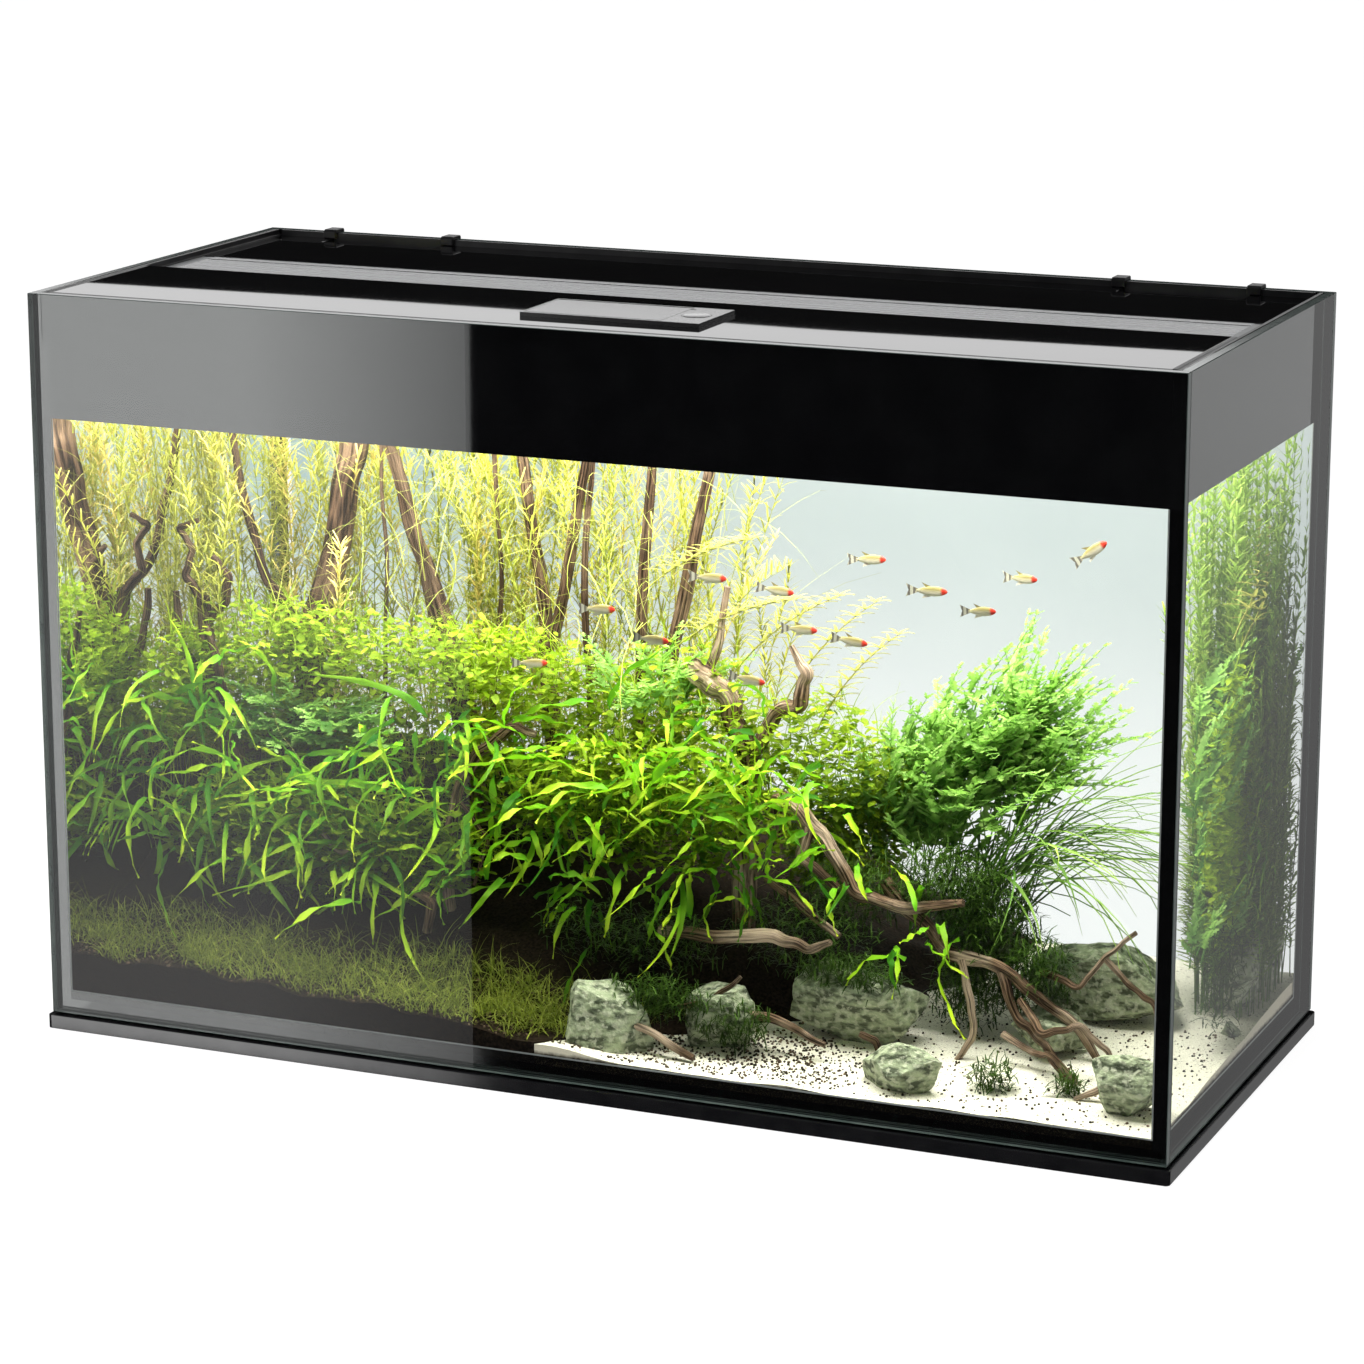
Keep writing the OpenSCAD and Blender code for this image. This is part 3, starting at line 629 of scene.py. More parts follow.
# Each stone's middle, size, turn and seed
STONES = [((-0.004, -0.164, 0.058), (0.096, 0.056, 0.062), 0.14, 3),
          ((0.084, -0.134, 0.060), (0.07, 0.046, 0.070), -0.2, 4),
          ((0.19, -0.078, 0.060), (0.122, 0.066, 0.076), 0.09, 5),
          ((0.262, -0.168, 0.050), (0.078, 0.05, 0.048), -0.26, 6),
          ((0.378, 0.034, 0.066), (0.15, 0.09, 0.084), 0.1, 17),
          ((0.45, -0.158, 0.053), (0.06, 0.05, 0.056), 0.35, 8),
          ((0.352, -0.06, 0.054), (0.066, 0.05, 0.046), 0.3, 9),
          ((0.469, 0.105, 0.072), (0.036, 0.095, 0.080), 0.0, 10),
          ((0.472, 0.178, 0.080), (0.030, 0.044, 0.070), 0.1, 12),
          ((0.477, 0.045, 0.042), (0.02, 0.03, 0.022), 0.2, 13)]
stones = [boulder(f"stone_{i + 1}", *item) for i, item in enumerate(STONES)]
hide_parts("rocks")

# ---- Driftwood ----
# Root wood set in the soil: trunks at the rear left, a claw in front of them, and roots that
# reach down to the sand. Water has worn its bark away, so its grain stands out in grooves.
def wood_finish(name, dark, brown, pale, share):
    """Bare wood whose grain runs along each limb, with bleached places."""
    finish = Finish(name, Specular_IOR_Level=0.25)
    lines = finish.attribute("grain", "Vector")
    streaks = (finish.noise(3.2, (1, 1, 1), 8, lines) - 0.40) * 4.5
    bleached = finish.ramp(finish.noise(16, detail=5), 0.46, 0.6) * share * (streaks + 0.4)
    finish.set("Base Color", finish.blend(bleached, finish.blend(streaks, dark, brown), pale))
    bump = {"Height": finish.noise(5.5, (1, 1, 1), 8, lines), "Distance": 0.003}
    return finish.wear(0.6, 0.85, 30).set("Normal", finish.node("ShaderNodeBump", None, bump))


trunk_wood = wood_finish("driftwood_trunk", (0.014, 0.008, 0.005), (0.125, 0.074, 0.044), (0.24, 0.16, 0.10), 0.5)
root_wood = wood_finish("driftwood_root", (0.022, 0.012, 0.007), (0.26, 0.165, 0.10), (0.56, 0.43, 0.31), 0.8)


def limb(points, seed, sides=14, slim=1.0):
    """A branch drawn as a curve through [x, y, z, radius] in millimetres, then grooved."""
    draw = np.random.default_rng(seed)
    knots = np.array(points, float) / 1000
    knots[:, 3] *= slim
    fine = [knots[0]]
    for a, b in zip(knots[:-1], knots[1:]):
        reach = np.linalg.norm(b[:3] - a[:3])
        for share in (0.33, 0.66):
            mid = a + (b - a) * share
            mid[:3] += draw.normal(size=3) * (0.08 * mid[3] + 0.009 * reach)
            mid[3] *= draw.uniform(0.86, 1.14)
            fine.append(mid)
        fine.append(b)
    curve = bpy.data.curves.new("limb", "CURVE")
    curve.dimensions = "3D"
    curve.bevel_depth, curve.bevel_resolution = 1, (sides - 4) // 2
    curve.resolution_u, curve.use_fill_caps = 7, True
    spline = curve.splines.new("BEZIER")
    spline.bezier_points.add(len(fine) - 1)
    for knot, point in zip(spline.bezier_points, fine):
        knot.co, knot.radius = point[:3], point[3]
        knot.handle_left_type = knot.handle_right_type = "AUTO"
    branch = bpy.data.objects.new("limb", curve)
    scene.collection.objects.link(branch)
    only(branch)
    bpy.ops.object.convert(target="MESH")
    branch = bpy.context.object
    co = np.array([v.co[:] for v in branch.data.vertices])
    rings = len(co) // sides
    ring = co[:rings * sides].reshape(rings, sides, 3)
    middle = ring.mean(1, keepdims=True)
    steps = np.linalg.norm(np.diff(middle[:, 0], axis=0), axis=1)
    turn = np.arange(sides) * 2 * np.pi / sides
    grain = np.zeros((rings, sides, 3))
    grain[..., 0], grain[..., 1] = np.cos(turn) * 1.1, np.sin(turn) * 1.1
    grain[..., 2] = np.concatenate([[0], np.cumsum(steps)])[:, None] * 9 + seed * 1.7
    lines = grain.reshape(-1, 3) * (2.2, 2.2, 0.45)
    depth = np.array([noise.fractal(Vector(line), 0.7, 2, 4) for line in lines])
    ring += (ring - middle) * np.clip(depth.reshape(rings, sides, 1), -0.6, 0.5) * 0.2
    co[:rings * sides] = ring.reshape(-1, 3)
    branch.data.vertices.foreach_set("co", inside(co).ravel())
    full = np.zeros((len(co), 3), np.float32)
    full[:rings * sides] = grain.reshape(-1, 3)
    branch.data.attributes.new("grain", "FLOAT_VECTOR", "POINT").data.foreach_set("vector", full.ravel())
    return branch


def timber(name, branches, node, seed, finish, slim=1.0):
    """Several limbs joined into one piece of wood. The thin ones have fewer sides."""
    limbs = [limb(points, seed + i, 14 if points[0][3] > 8 else 8, slim) for i, points in enumerate(branches)]
    piece = join(limbs, name)
    bpy.ops.object.shade_smooth_by_angle(angle=math.radians(50))
    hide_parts(node)
    return carry(piece, "tank", finish)


# Each branch is a run of points: X, Y, Z and radius, in millimetres
TRUNKS = [
    [[-368, 56, 140, 15], [-388, 58, 294, 13], [-356, 60, 400, 12], [-342, 62, 470, 13], [-346, 62, 560, 12]],
    [[-390, 42, 306, 8], [-378, 38, 250, 11], [-362, 36, 165, 12]],
    [[-388, 50, 300, 5], [-432, 60, 350, 4.5], [-456, 64, 430, 3.5], [-476, 66, 545, 3]],
    [[-380, 46, 298, 3], [-330, 46, 268, 2.5], [-280, 44, 228, 2]],
    [[-218, 54, 140, 9], [-236, 56, 285, 8], [-286, 60, 410, 6], [-318, 62, 508, 5], [-332, 62, 570, 4]],
    [[-236, 50, 230, 5], [-266, 50, 360, 4], [-302, 52, 500, 3], [-326, 54, 570, 2.5]],
    [[-310, 44, 200, 2.5], [-302, 46, 380, 2], [-312, 50, 565, 2]],
    [[-200, 40, 200, 2.5], [-190, 44, 360, 2], [-198, 50, 565, 2]],
    [[-148, 60, 140, 8], [-156, 64, 298, 7], [-178, 66, 470, 5], [-184, 66, 570, 4]],
    [[-150, 60, 310, 5], [-126, 62, 430, 5], [-100, 64, 560, 4.5]],
    [[-108, 50, 200, 3], [-112, 52, 420, 3], [-104, 56, 570, 2.5]],
    [[-72, 62, 140, 6], [-66, 64, 320, 5], [-56, 66, 480, 4], [-52, 66, 570, 4]],
    [[-40, 56, 140, 7], [-34, 58, 314, 6], [0, 60, 480, 5], [14, 60, 570, 4]],
]
CLAW = [
    [[-404, -28, 90, 10], [-420, -26, 200, 8], [-444, -22, 262, 6.5], [-452, -18, 345, 6]],
    [[-452, -18, 340, 5], [-470, -16, 362, 4], [-464, -14, 386, 3.5], [-476, -14, 404, 3], [-458, -12, 412, 2.5]],
    [[-452, -18, 322, 5], [-430, -20, 340, 4], [-424, -22, 366, 4], [-438, -24, 384, 2.5]],
    [[-440, -24, 250, 6], [-470, -22, 296, 4], [-478, -20, 348, 3]],
    [[-420, -26, 205, 6], [-392, -24, 222, 5], [-366, -22, 240, 4.5], [-330, -20, 262, 3.5]],
    [[-396, -50, 200, 5], [-410, -52, 235, 4.5], [-418, -54, 290, 4], [-428, -55, 330, 2.5]],
]
ROOTS = [
    [[-192, -60, 90, 7], [-196, -60, 153, 7], [-184, -60, 205, 6], [-166, -60, 240, 6], [-130, -58, 268, 6],
     [-112, -54, 262, 4]],
    [[62, -12, 90, 12], [66, -12, 250, 12], [50, -14, 300, 12], [28, -18, 318, 14], [12, -20, 330, 9]],
    [[66, -12, 250, 9], [96, -14, 296, 7], [112, -16, 300, 8], [120, -18, 330, 7], [106, -18, 352, 3]],
    [[30, -16, 318, 6], [40, -14, 350, 4.5], [46, -12, 396, 3.5]],
    [[96, -24, 180, 8], [108, -44, 226, 10], [130, -60, 224, 10], [160, -60, 192, 8], [182, -60, 158, 7],
     [226, -60, 150, 6.5], [276, -60, 160, 4]],
    [[140, -62, 214, 7], [136, -68, 186, 6], [166, -62, 160, 5]],
    [[196, -30, 160, 8], [258, -46, 112, 8], [309, -60, 108, 7], [346, -66, 88, 6], [378, -64, 66, 5],
     [400, -60, 32, 4]],
    [[309, -60, 108, 6], [326, -70, 74, 5], [350, -84, 60, 4.5], [378, -108, 46, 5], [398, -116, 30, 4]],
    [[330, -70, 86, 4], [360, -100, 70, 4], [392, -104, 82, 3.5], [416, -100, 60, 3], [412, -110, 32, 3]],
    [[322, -90, 62, 4], [352, -98, 52, 3.5], [372, -120, 60, 3], [396, -124, 42, 3]],
    [[340, -50, 106, 4], [376, -60, 100, 3], [398, -58, 128, 3], [424, -60, 152, 2.5]],
    [[398, -58, 126, 3], [420, -62, 108, 3.5], [442, -66, 96, 3], [456, -70, 50, 2.5]],
    [[282, -80, 118, 4], [292, -84, 84, 4.5], [296, -90, 56, 4], [284, -98, 34, 3.5]],
    [[20, -96, 116, 6], [70, -100, 117, 7], [126, -104, 126, 7.5], [158, -106, 119, 5], [178, -108, 128, 3.5]],
    [[60, -128, 48, 4.5], [100, -130, 68, 5], [150, -136, 62, 4.5], [186, -140, 50, 3]],
    [[56, -140, 66, 3], [84, -138, 76, 3], [110, -136, 98, 2]],
    [[10, -170, 62, 3.5], [50, -174, 52, 4], [86, -180, 38, 3.5]],
    [[100, -56, 160, 4], [140, -70, 142, 5], [176, -84, 126, 4]],
    [[-196, -100, 90, 5], [-190, -104, 120, 6], [-204, -110, 128, 4]],
    [[-330, -90, 190, 3], [-280, -94, 150, 3], [-240, -96, 170, 2.5]],
    [[-178, -70, 200, 2.5], [-150, -74, 170, 2.5], [-160, -80, 130, 2]],
    [[236, -130, 36, 4], [226, -130, 56, 4], [214, -134, 62, 3]],
    [[446, -140, 36, 4], [426, -146, 46, 4], [404, -150, 36, 3]],
]
timber("driftwood_trunk_group", TRUNKS, "driftwood_trunks", 100, trunk_wood)
timber("driftwood_claw_group", CLAW, "driftwood_claw", 200, trunk_wood)
timber("driftwood_root_group", ROOTS, "driftwood_roots", 300, root_wood, 0.82)


# ---- Tall stem plants ----
# Thin stems with rings of needle leaves, yellow-green to copper, that fill the rear left up to
# the water. Long grass blades hang over between them.
def leaf_finish(name, dark, light, tip, glow, share=0.35, tip_power=2.0):
    """Leaf tissue: darker and lighter plants by the tint, which on the round-leaved balls and the moss also holds
    painted shade low down, paler tips, and light that shines through.
    """
    finish = Finish(name, Roughness=0.45, Specular_IOR_Level=0.35)
    tree, tint = finish.tree, finish.attribute("tint")
    tissue = finish.blend(tint, dark, light)
    tissue = finish.blend((finish.attribute("along") ** tip_power) * tint, tissue, tip)
    finish.set("Base Color", tissue).grain(700, 0.0002)
    through = finish.node("ShaderNodeBsdfTranslucent", None, {"Color": glow})
    surface = Sock(finish, finish.shader.outputs[0])
    both = finish.node("ShaderNodeMixShader", None, {0: share, 1: surface, 2: through})
    tree.links.new(both.socket, tree.nodes["Material Output"].inputs["Surface"])
    return finish


def stalk_outline(u, v):
    thick = 0.5 * (1 - 0.6 * u)
    return u, thick * np.cos(2 * np.pi * v), thick * np.sin(2 * np.pi * v)


needle = shape(2, 1, lambda u, v: (u, v * (1.15 - u) ** 0.5 * np.minimum(1, 0.4 + 3 * u), 0 * u))
blade = shape(6, 2, lambda u, v: (u, v * (1 - u ** 2.2), 0.3 * np.abs(v)))
stalk = shape(7, 3, stalk_outline)


def axis(count):
    """Bare points along a stem, which leaves are then set on."""
    line = np.linspace(0, 1, count)
    return np.stack([line, 0 * line, 0 * line], 1), np.zeros((1, 3), int)


def whorled(x, y, low, high, gap, leaf, wide, tint, lean=0.13, sway=1.0):
    """Stems from the soil up to a height, each with rings of four leaves a gap apart."""
    count = len(x)
    even, bell = draws(count)
    tall = high - low
    line = (np.stack([x, y, low], 1), even(0, TURN), np.pi / 2 - np.abs(bell(0, lean)), tall)
    bend = (sway * bell(0, 0.35), sway * bell(0, 0.14))
    parts = [grow(stalk, *line, 0.0013, *bend, tint=tint * 0.5)]
    rings = int(np.max(tall) / gap)
    spots = grow(axis(rings), *line, 1, *bend)[0].reshape(count, rings, 3)
    level = np.linspace(0, 1, rings)
    keep = (level[None] > 0.12) & (chance.random((count, rings)) < 0.93)
    places = spots[keep]
    age = np.broadcast_to(level, keep.shape)[keep]
    shade = np.broadcast_to(tint[:, None], keep.shape)[keep]
    even, bell = draws(len(places))
    start = even(0, TURN)
    for k in range(4):
        size = leaf * even(0.65, 1.2) * (1.05 - 0.35 * age)
        parts.append(grow(needle, places, start + k * np.pi / 2, 0.5 + 0.5 * age + bell(0, 0.2), size, wide,
                          bell(0.5, 0.3), tint=np.clip(shade + 0.3 * age - 0.1, 0, 1)))
    return parts


stem_leaf = leaf_finish("yellow_stem_leaf", (0.12, 0.19, 0.02), (0.42, 0.44, 0.06), (0.64, 0.56, 0.14),
                        (0.42, 0.43, 0.055))
copper_leaf = leaf_finish("copper_stem_leaf", (0.28, 0.24, 0.05), (0.62, 0.50, 0.12), (0.78, 0.66, 0.26),
                          (0.6, 0.5, 0.13))
grass_blade = leaf_finish("hanging_grass_blade", (0.16, 0.22, 0.04), (0.46, 0.50, 0.10), (0.62, 0.60, 0.18),
                          (0.44, 0.47, 0.09))
REAR_ROWS, SIDE_ROWS = (0.085, 0.198), (0.0, 0.12)
for label, count, xs, ys, finish, node in (
        ("left", 52, (-0.478, -0.26), REAR_ROWS, stem_leaf, "stem_plants"),
        ("middle", 74, (-0.28, 0.0), REAR_ROWS, stem_leaf, None),
        ("copper", 28, (-0.47, 0.0), REAR_ROWS, copper_leaf, None),
        ("side", 24, (-0.486, -0.45), SIDE_ROWS, stem_leaf, None)):
    x, y = rows(count, xs, ys)
    even, _ = draws(count)
    top = even(0.44, 0.575) - 0.12 * smooth(x, -0.06, 0.0)
    stems = whorled(x, y, soil_level(x, y) - 0.01, top, 0.0115, 0.023, 0.0022, even(0.15, 1))
    gather(f"stem_plants_{label}", stems, finish, node)

x, y = rows(560, (-0.47, 0.0), (-0.02, 0.19))
even, bell = draws(len(x))
hanging = grow(blade, np.stack([x, y, even(0.2, 0.5)], 1), even(0, TURN), even(-0.2, 1.4), even(0.06, 0.19),
               even(0.0007, 0.0012), even(-2.0, 2.6), bell(0, 0.5), tint=even(0.3, 1))
gather("hanging_blades", [hanging], grass_blade)


def out_of_front_view(x, y, edge):
    """Moves plants so far right that only the side pane shows them."""
    return np.maximum(x, edge - 0.2955 * (y + 0.207))


x, y = rows(170, (0.42, 0.486), (0.075, 0.2))
x = out_of_front_view(x, y, 0.520)
even, _ = draws(len(x))
side_leaf = leaf_finish("side_stem_leaf", (0.04, 0.11, 0.012), (0.24, 0.40, 0.05), (0.48, 0.56, 0.12),
                        (0.24, 0.40, 0.05))
side_stems = whorled(x, y, sand_level(x, y), even(0.26, 0.56), 0.012, 0.019, 0.003, even(0.1, 1), 0.03, 0.2)
gather("side_stem_group", side_stems, side_leaf, "side_stems")

# Pale sprigs lean out over the middle and stand by the side pane: each one's foot, lean, length
SPRIGS = [((0.0, -0.02, 0.34), 0.9, 0.12), ((0.05, -0.01, 0.32), 0.5, 0.12), ((0.09, 0.0, 0.29), 0.15, 0.13),
          ((0.12, 0.0, 0.27), 0.1, 0.12), ((-0.04, 0.01, 0.38), 0.8, 0.11), ((0.472, 0.03, 0.38), 0.0, 0.12),
          ((0.468, 0.06, 0.36), 0.0, 0.13)]
SPRIG_RINGS, BARE_RINGS, LEAF_STEP = 13, 3, 1.257
level = np.linspace(0, 1, SPRIG_RINGS)[BARE_RINGS:]
sprigs = []
for place, lean, tall in SPRIGS:
    line = (place, 0.1, 1.25 - lean * 0.6, tall)
    sprigs.append(grow(stalk, *line, 0.0016, 0.55, tint=0.9))
    spots = grow(axis(SPRIG_RINGS), *line, 1, 0.55)[0][BARE_RINGS:]
    for k in range(5):
        sprigs.append(grow(blade, spots, k * LEAF_STEP + level * 5, 0.45, 0.025 - 0.010 * level, 0.0030, 0.6,
                           tint=0.3 + 0.6 * level))
pale_leaf = leaf_finish("pale_tip_leaf", (0.20, 0.22, 0.03), (0.40, 0.40, 0.08), (0.60, 0.50, 0.18),
                        (0.38, 0.38, 0.08))
gather("pale_tip_sprigs", sprigs, pale_leaf)


# ---- Small-leaved carpet ----
# A tangle of thin runners with round bright leaves that covers the wood's feet.
def round_outline(u, v):
    return u, v * np.sqrt(np.clip(1 - (2 * u - 1) ** 2, 0.03, 1)), 0.25 * np.abs(v) - 0.1 * u


round_leaf = shape(3, 2, round_outline)
small_leaf = leaf_finish("round_small_leaf", (0.018, 0.070, 0.004), (0.29, 0.44, 0.014), (0.47, 0.56, 0.035),
                         (0.29, 0.45, 0.014))


def cloud(count, centre, reach):
    """Places in a flattened ball, thicker towards its skin."""
    ray = chance.normal(size=(count, 3))
    ray /= np.linalg.norm(ray, axis=1)[:, None]
    return np.array(centre) + ray * np.array(reach) * (chance.random(count) ** 0.4)[:, None]


def leafy(count, centre, reach, size, low):
    """A ball of round leaves with a runner at every fourth. Its leaves are painted in shade below a low height and
    brighten over the 0.13 above it.
    """
    at = cloud(count, centre, reach)
    # Painted shade: the lower leaves of each ball are darker, and the runners share it.
    bright = np.clip((at[:, 2] - low) / 0.13, 0, 1)
    even, bell = draws(count)
    leaves = grow(round_leaf, at, even(0, TURN), bell(0.3, 0.45), size * even(0.6, 1.3), size * even(0.55, 1.0),
                  0.4, tint=np.clip(bright * even(0.3, 1.15), 0.02, 1))
    at = at[::4]
    even, bell = draws(len(at))
    runners = grow(blade, at, even(0, TURN), even(0.3, 1.4), even(0.02, 0.05), 0.0011, even(-1, 1.5),
                   bell(0, 0.4), tint=bright[::4] * 0.8)
    return [leaves, runners]


# Each ball's number of leaves, middle, half size, leaf length and low height, below which its leaves are painted
# in shade
CARPET = {
    "small_leaf_left": [(600, (-0.458, -0.05, 0.27), (0.028, 0.05, 0.06), 0.0085, 0.14),
                        (2000, (-0.37, 0.0, 0.235), (0.11, 0.06, 0.095), 0.0085, 0.14),
                        (700, (-0.36, -0.02, 0.315), (0.12, 0.06, 0.035), 0.008, 0.22)],
    "small_leaf_middle": [(2000, (-0.16, 0.0, 0.235), (0.13, 0.06, 0.10), 0.0085, 0.15),
                          (800, (-0.18, -0.03, 0.315), (0.12, 0.06, 0.035), 0.008, 0.22)],
    "small_leaf_centre": [(2000, (0.0, -0.01, 0.245), (0.10, 0.06, 0.10), 0.0085, 0.16),
                          (800, (0.12, 0.0, 0.25), (0.07, 0.05, 0.06), 0.0085, 0.16),
                          (1000, (0.13, 0.04, 0.165), (0.06, 0.05, 0.05), 0.0085, 0.10),
                          (600, (0.17, 0.05, 0.205), (0.04, 0.04, 0.045), 0.0085, 0.13)],
    "undergrowth_left": [(2300, (-0.31, -0.078, 0.155), (0.17, 0.03, 0.055), 0.010, 0.06)],
    "undergrowth_front": [(1500, (0.0, -0.075, 0.215), (0.14, 0.03, 0.06), 0.008, 0.13),
                          (1100, (0.470, 0.06, 0.23), (0.010, 0.085, 0.13), 0.009, 0.04)],
}
for name, balls in CARPET.items():
    gather(name, sum((leafy(*ball) for ball in balls), []), small_leaf)


# ---- Long-leaved ferns ----
# Narrow wavy blades in tufts tied to the wood, deep green with yellow tips. They hang out
# towards the front.
def wavy_outline(u, v):
    wide = np.minimum(1, 0.35 + 4 * u) * (1 - u ** 3) * (1 + 0.16 * np.sin(21 * u))
    return u, v * wide, 0.4 * np.abs(v) + 0.38 * np.sin(15 * u + 2 * v)


fern_blade = shape(9, 2, wavy_outline)
fern_leaf = leaf_finish("long_fern_leaf", (0.008, 0.085, 0.006), (0.13, 0.50, 0.012), (0.66, 0.78, 0.035),
                        (0.20, 0.52, 0.01), 0.33, 1.1)
# Each tuft's X, height and number of blades
TUFTS = [
    (-0.462, 0.215, 11), (-0.445, 0.262, 9), (-0.42, 0.185, 13), (-0.40, 0.275, 10), (-0.385, 0.235, 10),
    (-0.36, 0.185, 11), (-0.33, 0.225, 10), (-0.31, 0.165, 13), (-0.285, 0.205, 9), (-0.26, 0.155, 12),
    (-0.24, 0.225, 10), (-0.205, 0.19, 10), (-0.205, 0.275, 7), (-0.175, 0.245, 8), (-0.145, 0.265, 10),
    (-0.15, 0.205, 9), (-0.12, 0.17, 10), (-0.11, 0.245, 11), (-0.08, 0.205, 12), (-0.06, 0.255, 10),
    (-0.04, 0.175, 12), (-0.03, 0.225, 11), (0.0, 0.265, 10), (0.015, 0.195, 12), (0.03, 0.235, 12),
    (0.05, 0.285, 9), (0.055, 0.185, 13), (0.085, 0.225, 12), (0.10, 0.26, 9), (0.115, 0.195, 12),
    (0.14, 0.235, 8), (0.155, 0.205, 8), (0.02, 0.145, 8), (0.085, 0.155, 8), (-0.07, 0.135, 6),
    (0.25, 0.115, 5), (0.235, 0.13, 4), (0.19, 0.17, 5), (-0.47, 0.150, 7), (-0.44, 0.140, 8),
    (-0.40, 0.145, 8), (-0.36, 0.135, 8), (-0.30, 0.125, 8), (-0.26, 0.12, 7), (-0.22, 0.14, 7),
    (-0.17, 0.15, 7), (-0.12, 0.13, 5), (-0.02, 0.14, 5), (0.474, 0.245, 12), (0.476, 0.205, 10),
    (0.474, 0.16, 8)]
SIDE_TUFT_X, SIDE_TUFT_Y, FRONT_TUFT_Y = 0.45, 0.09, -0.080
LONG_LEAVED_X = -0.2
ferns = []
for x, z, count in TUFTS:
    y = SIDE_TUFT_Y if x > SIDE_TUFT_X else FRONT_TUFT_Y
    at = np.array([x, y, z]) + chance.normal(0, 1, (count, 3)) * (0.018, 0.018, 0.016)
    even, bell = draws(count)
    bright = np.where(chance.random(count) < 0.5, even(0.75, 1), even(0.0, 0.35))
    reach = 1.2 if x < LONG_LEAVED_X else 1
    ferns.append(grow(fern_blade, at, bell(-1.45, 1.0), bell(0.35, 0.6), even(0.032, 0.082) * reach,
                      even(0.0042, 0.0066), even(0.3, 2.5), bell(0, 0.45), bell(0, 0.6), bright))
gather("long_leaf_ferns", ferns, fern_leaf, "fern_clumps")

# ---- Feathery bush ----
# A dense bush of lobed fronds on the right, with long bare blades that arch out beside it.
# The same fronds fill gaps low at the left, at the centre and by the side pane.
LOBES = np.array([0.12, 1.0, 0.34, 0.9, 0.3, 0.62, 0.0])


def lobed_outline(u, v):
    return u + 0.16 * np.abs(v), v * np.interp(u, np.linspace(0, 1, 7), LOBES), 0.2 * np.abs(v)


lobed = shape(6, 2, lobed_outline)
bush_leaf = leaf_finish("feathery_bush_leaf", (0.035, 0.12, 0.018), (0.28, 0.52, 0.10), (0.56, 0.78, 0.24),
                        (0.28, 0.52, 0.09), 0.45)


def fronds(name, at, heading, rise, length, tint, pairs, size, node=None):
    """A piece of fronds with lobed leaflets on both sides of a thin stalk."""
    count = len(at)
    even, bell = draws(count)
    rise, length, tint = even(*rise), even(*length), even(*tint)
    line, bend = (at, heading, rise, length), (even(-0.2, 0.7), bell(0, 0.12))
    parts = [grow(stalk, *line, 0.0015, *bend, tint=tint * 0.4)]
    spots = grow(axis(pairs + 2), *line, 1, *bend)[0].reshape(count, -1, 3)[:, 2:].reshape(-1, 3)
    level = np.tile(np.linspace(0.2, 1, pairs), count)
    heading, rise, tint = (np.repeat(values, pairs) for values in (heading, rise, tint))
    even, bell = draws(len(spots))
    reach = size * (1.15 - 0.75 * level) * even(0.8, 1.2)
    for side in (-1, 1):
        parts.append(grow(lobed, spots, heading + side * even(0.55, 1.0), rise * 0.7 + bell(0, 0.25), reach,
                          reach * 0.62, 0.3, twist=bell(0, 0.4), tint=np.clip(tint + 0.25 * level - 0.1, 0, 1)))
    return gather(name, parts, bush_leaf, node)


at = cloud(115, (0.205, 0.05, 0.20), (0.06, 0.05, 0.055))
fronds("bush_left_half", at, chance.normal(0.2, 1.6, len(at)), (0.5, 1.5), (0.05, 0.10), (0.1, 1), 9, 0.018,
       "fern_bush")
at = cloud(125, (0.262, 0.055, 0.235), (0.05, 0.05, 0.06))
fronds("bush_right_half", at, chance.normal(0.0, 0.7, len(at)), (0.35, 1.3), (0.06, 0.12), (0.2, 1), 9, 0.018)
x, y = rows(70, (0.43, 0.476), (-0.03, 0.17))
at = np.stack([out_of_front_view(x, y, 0.513), y, chance.uniform(0.10, 0.33, len(x))], 1)
fronds("side_lobed_fern", at, chance.normal(0.6, 0.8, len(at)), (1.0, 1.5), (0.04, 0.08), (0.0, 0.8), 8, 0.015)
at = cloud(46, (-0.33, -0.04, 0.235), (0.09, 0.03, 0.03))
fronds("low_lobed_fern", at, chance.normal(-1.4, 1.0, len(at)), (0.2, 0.9), (0.04, 0.065), (0.1, 0.8), 7, 0.016)
at = cloud(30, (-0.01, -0.03, 0.295), (0.05, 0.03, 0.03))
fronds("centre_lobed_fern", at, chance.uniform(0, TURN, len(at)), (0.3, 1.2), (0.035, 0.06), (0.3, 1), 7, 0.015)

arch_leaf = leaf_finish("arching_blade", (0.03, 0.12, 0.02), (0.24, 0.46, 0.07), (0.55, 0.68, 0.18),
                        (0.24, 0.44, 0.06))
at = cloud(80, (0.285, 0.04, 0.165), (0.03, 0.045, 0.03))
even, bell = draws(len(at))
arches = grow(blade, at, bell(-0.1, 0.4), even(0.3, 1.15), even(0.11, 0.21), even(0.0022, 0.0048),
              even(0.3, 1.9), bell(0, 0.2), tint=even(0.15, 1))
gather("arching_blades", [arches], arch_leaf)
at = cloud(60, (0.235, 0.04, 0.10), (0.05, 0.04, 0.015))
even, bell = draws(len(at))
feet = grow(stalk, at, bell(0.0, 0.6), even(0.7, 1.4), even(0.07, 0.16), 0.0024, bell(0, 0.5), bell(0, 0.15),
            tint=even(0, 0.35))
gather("bush_stems", [feet], arch_leaf)

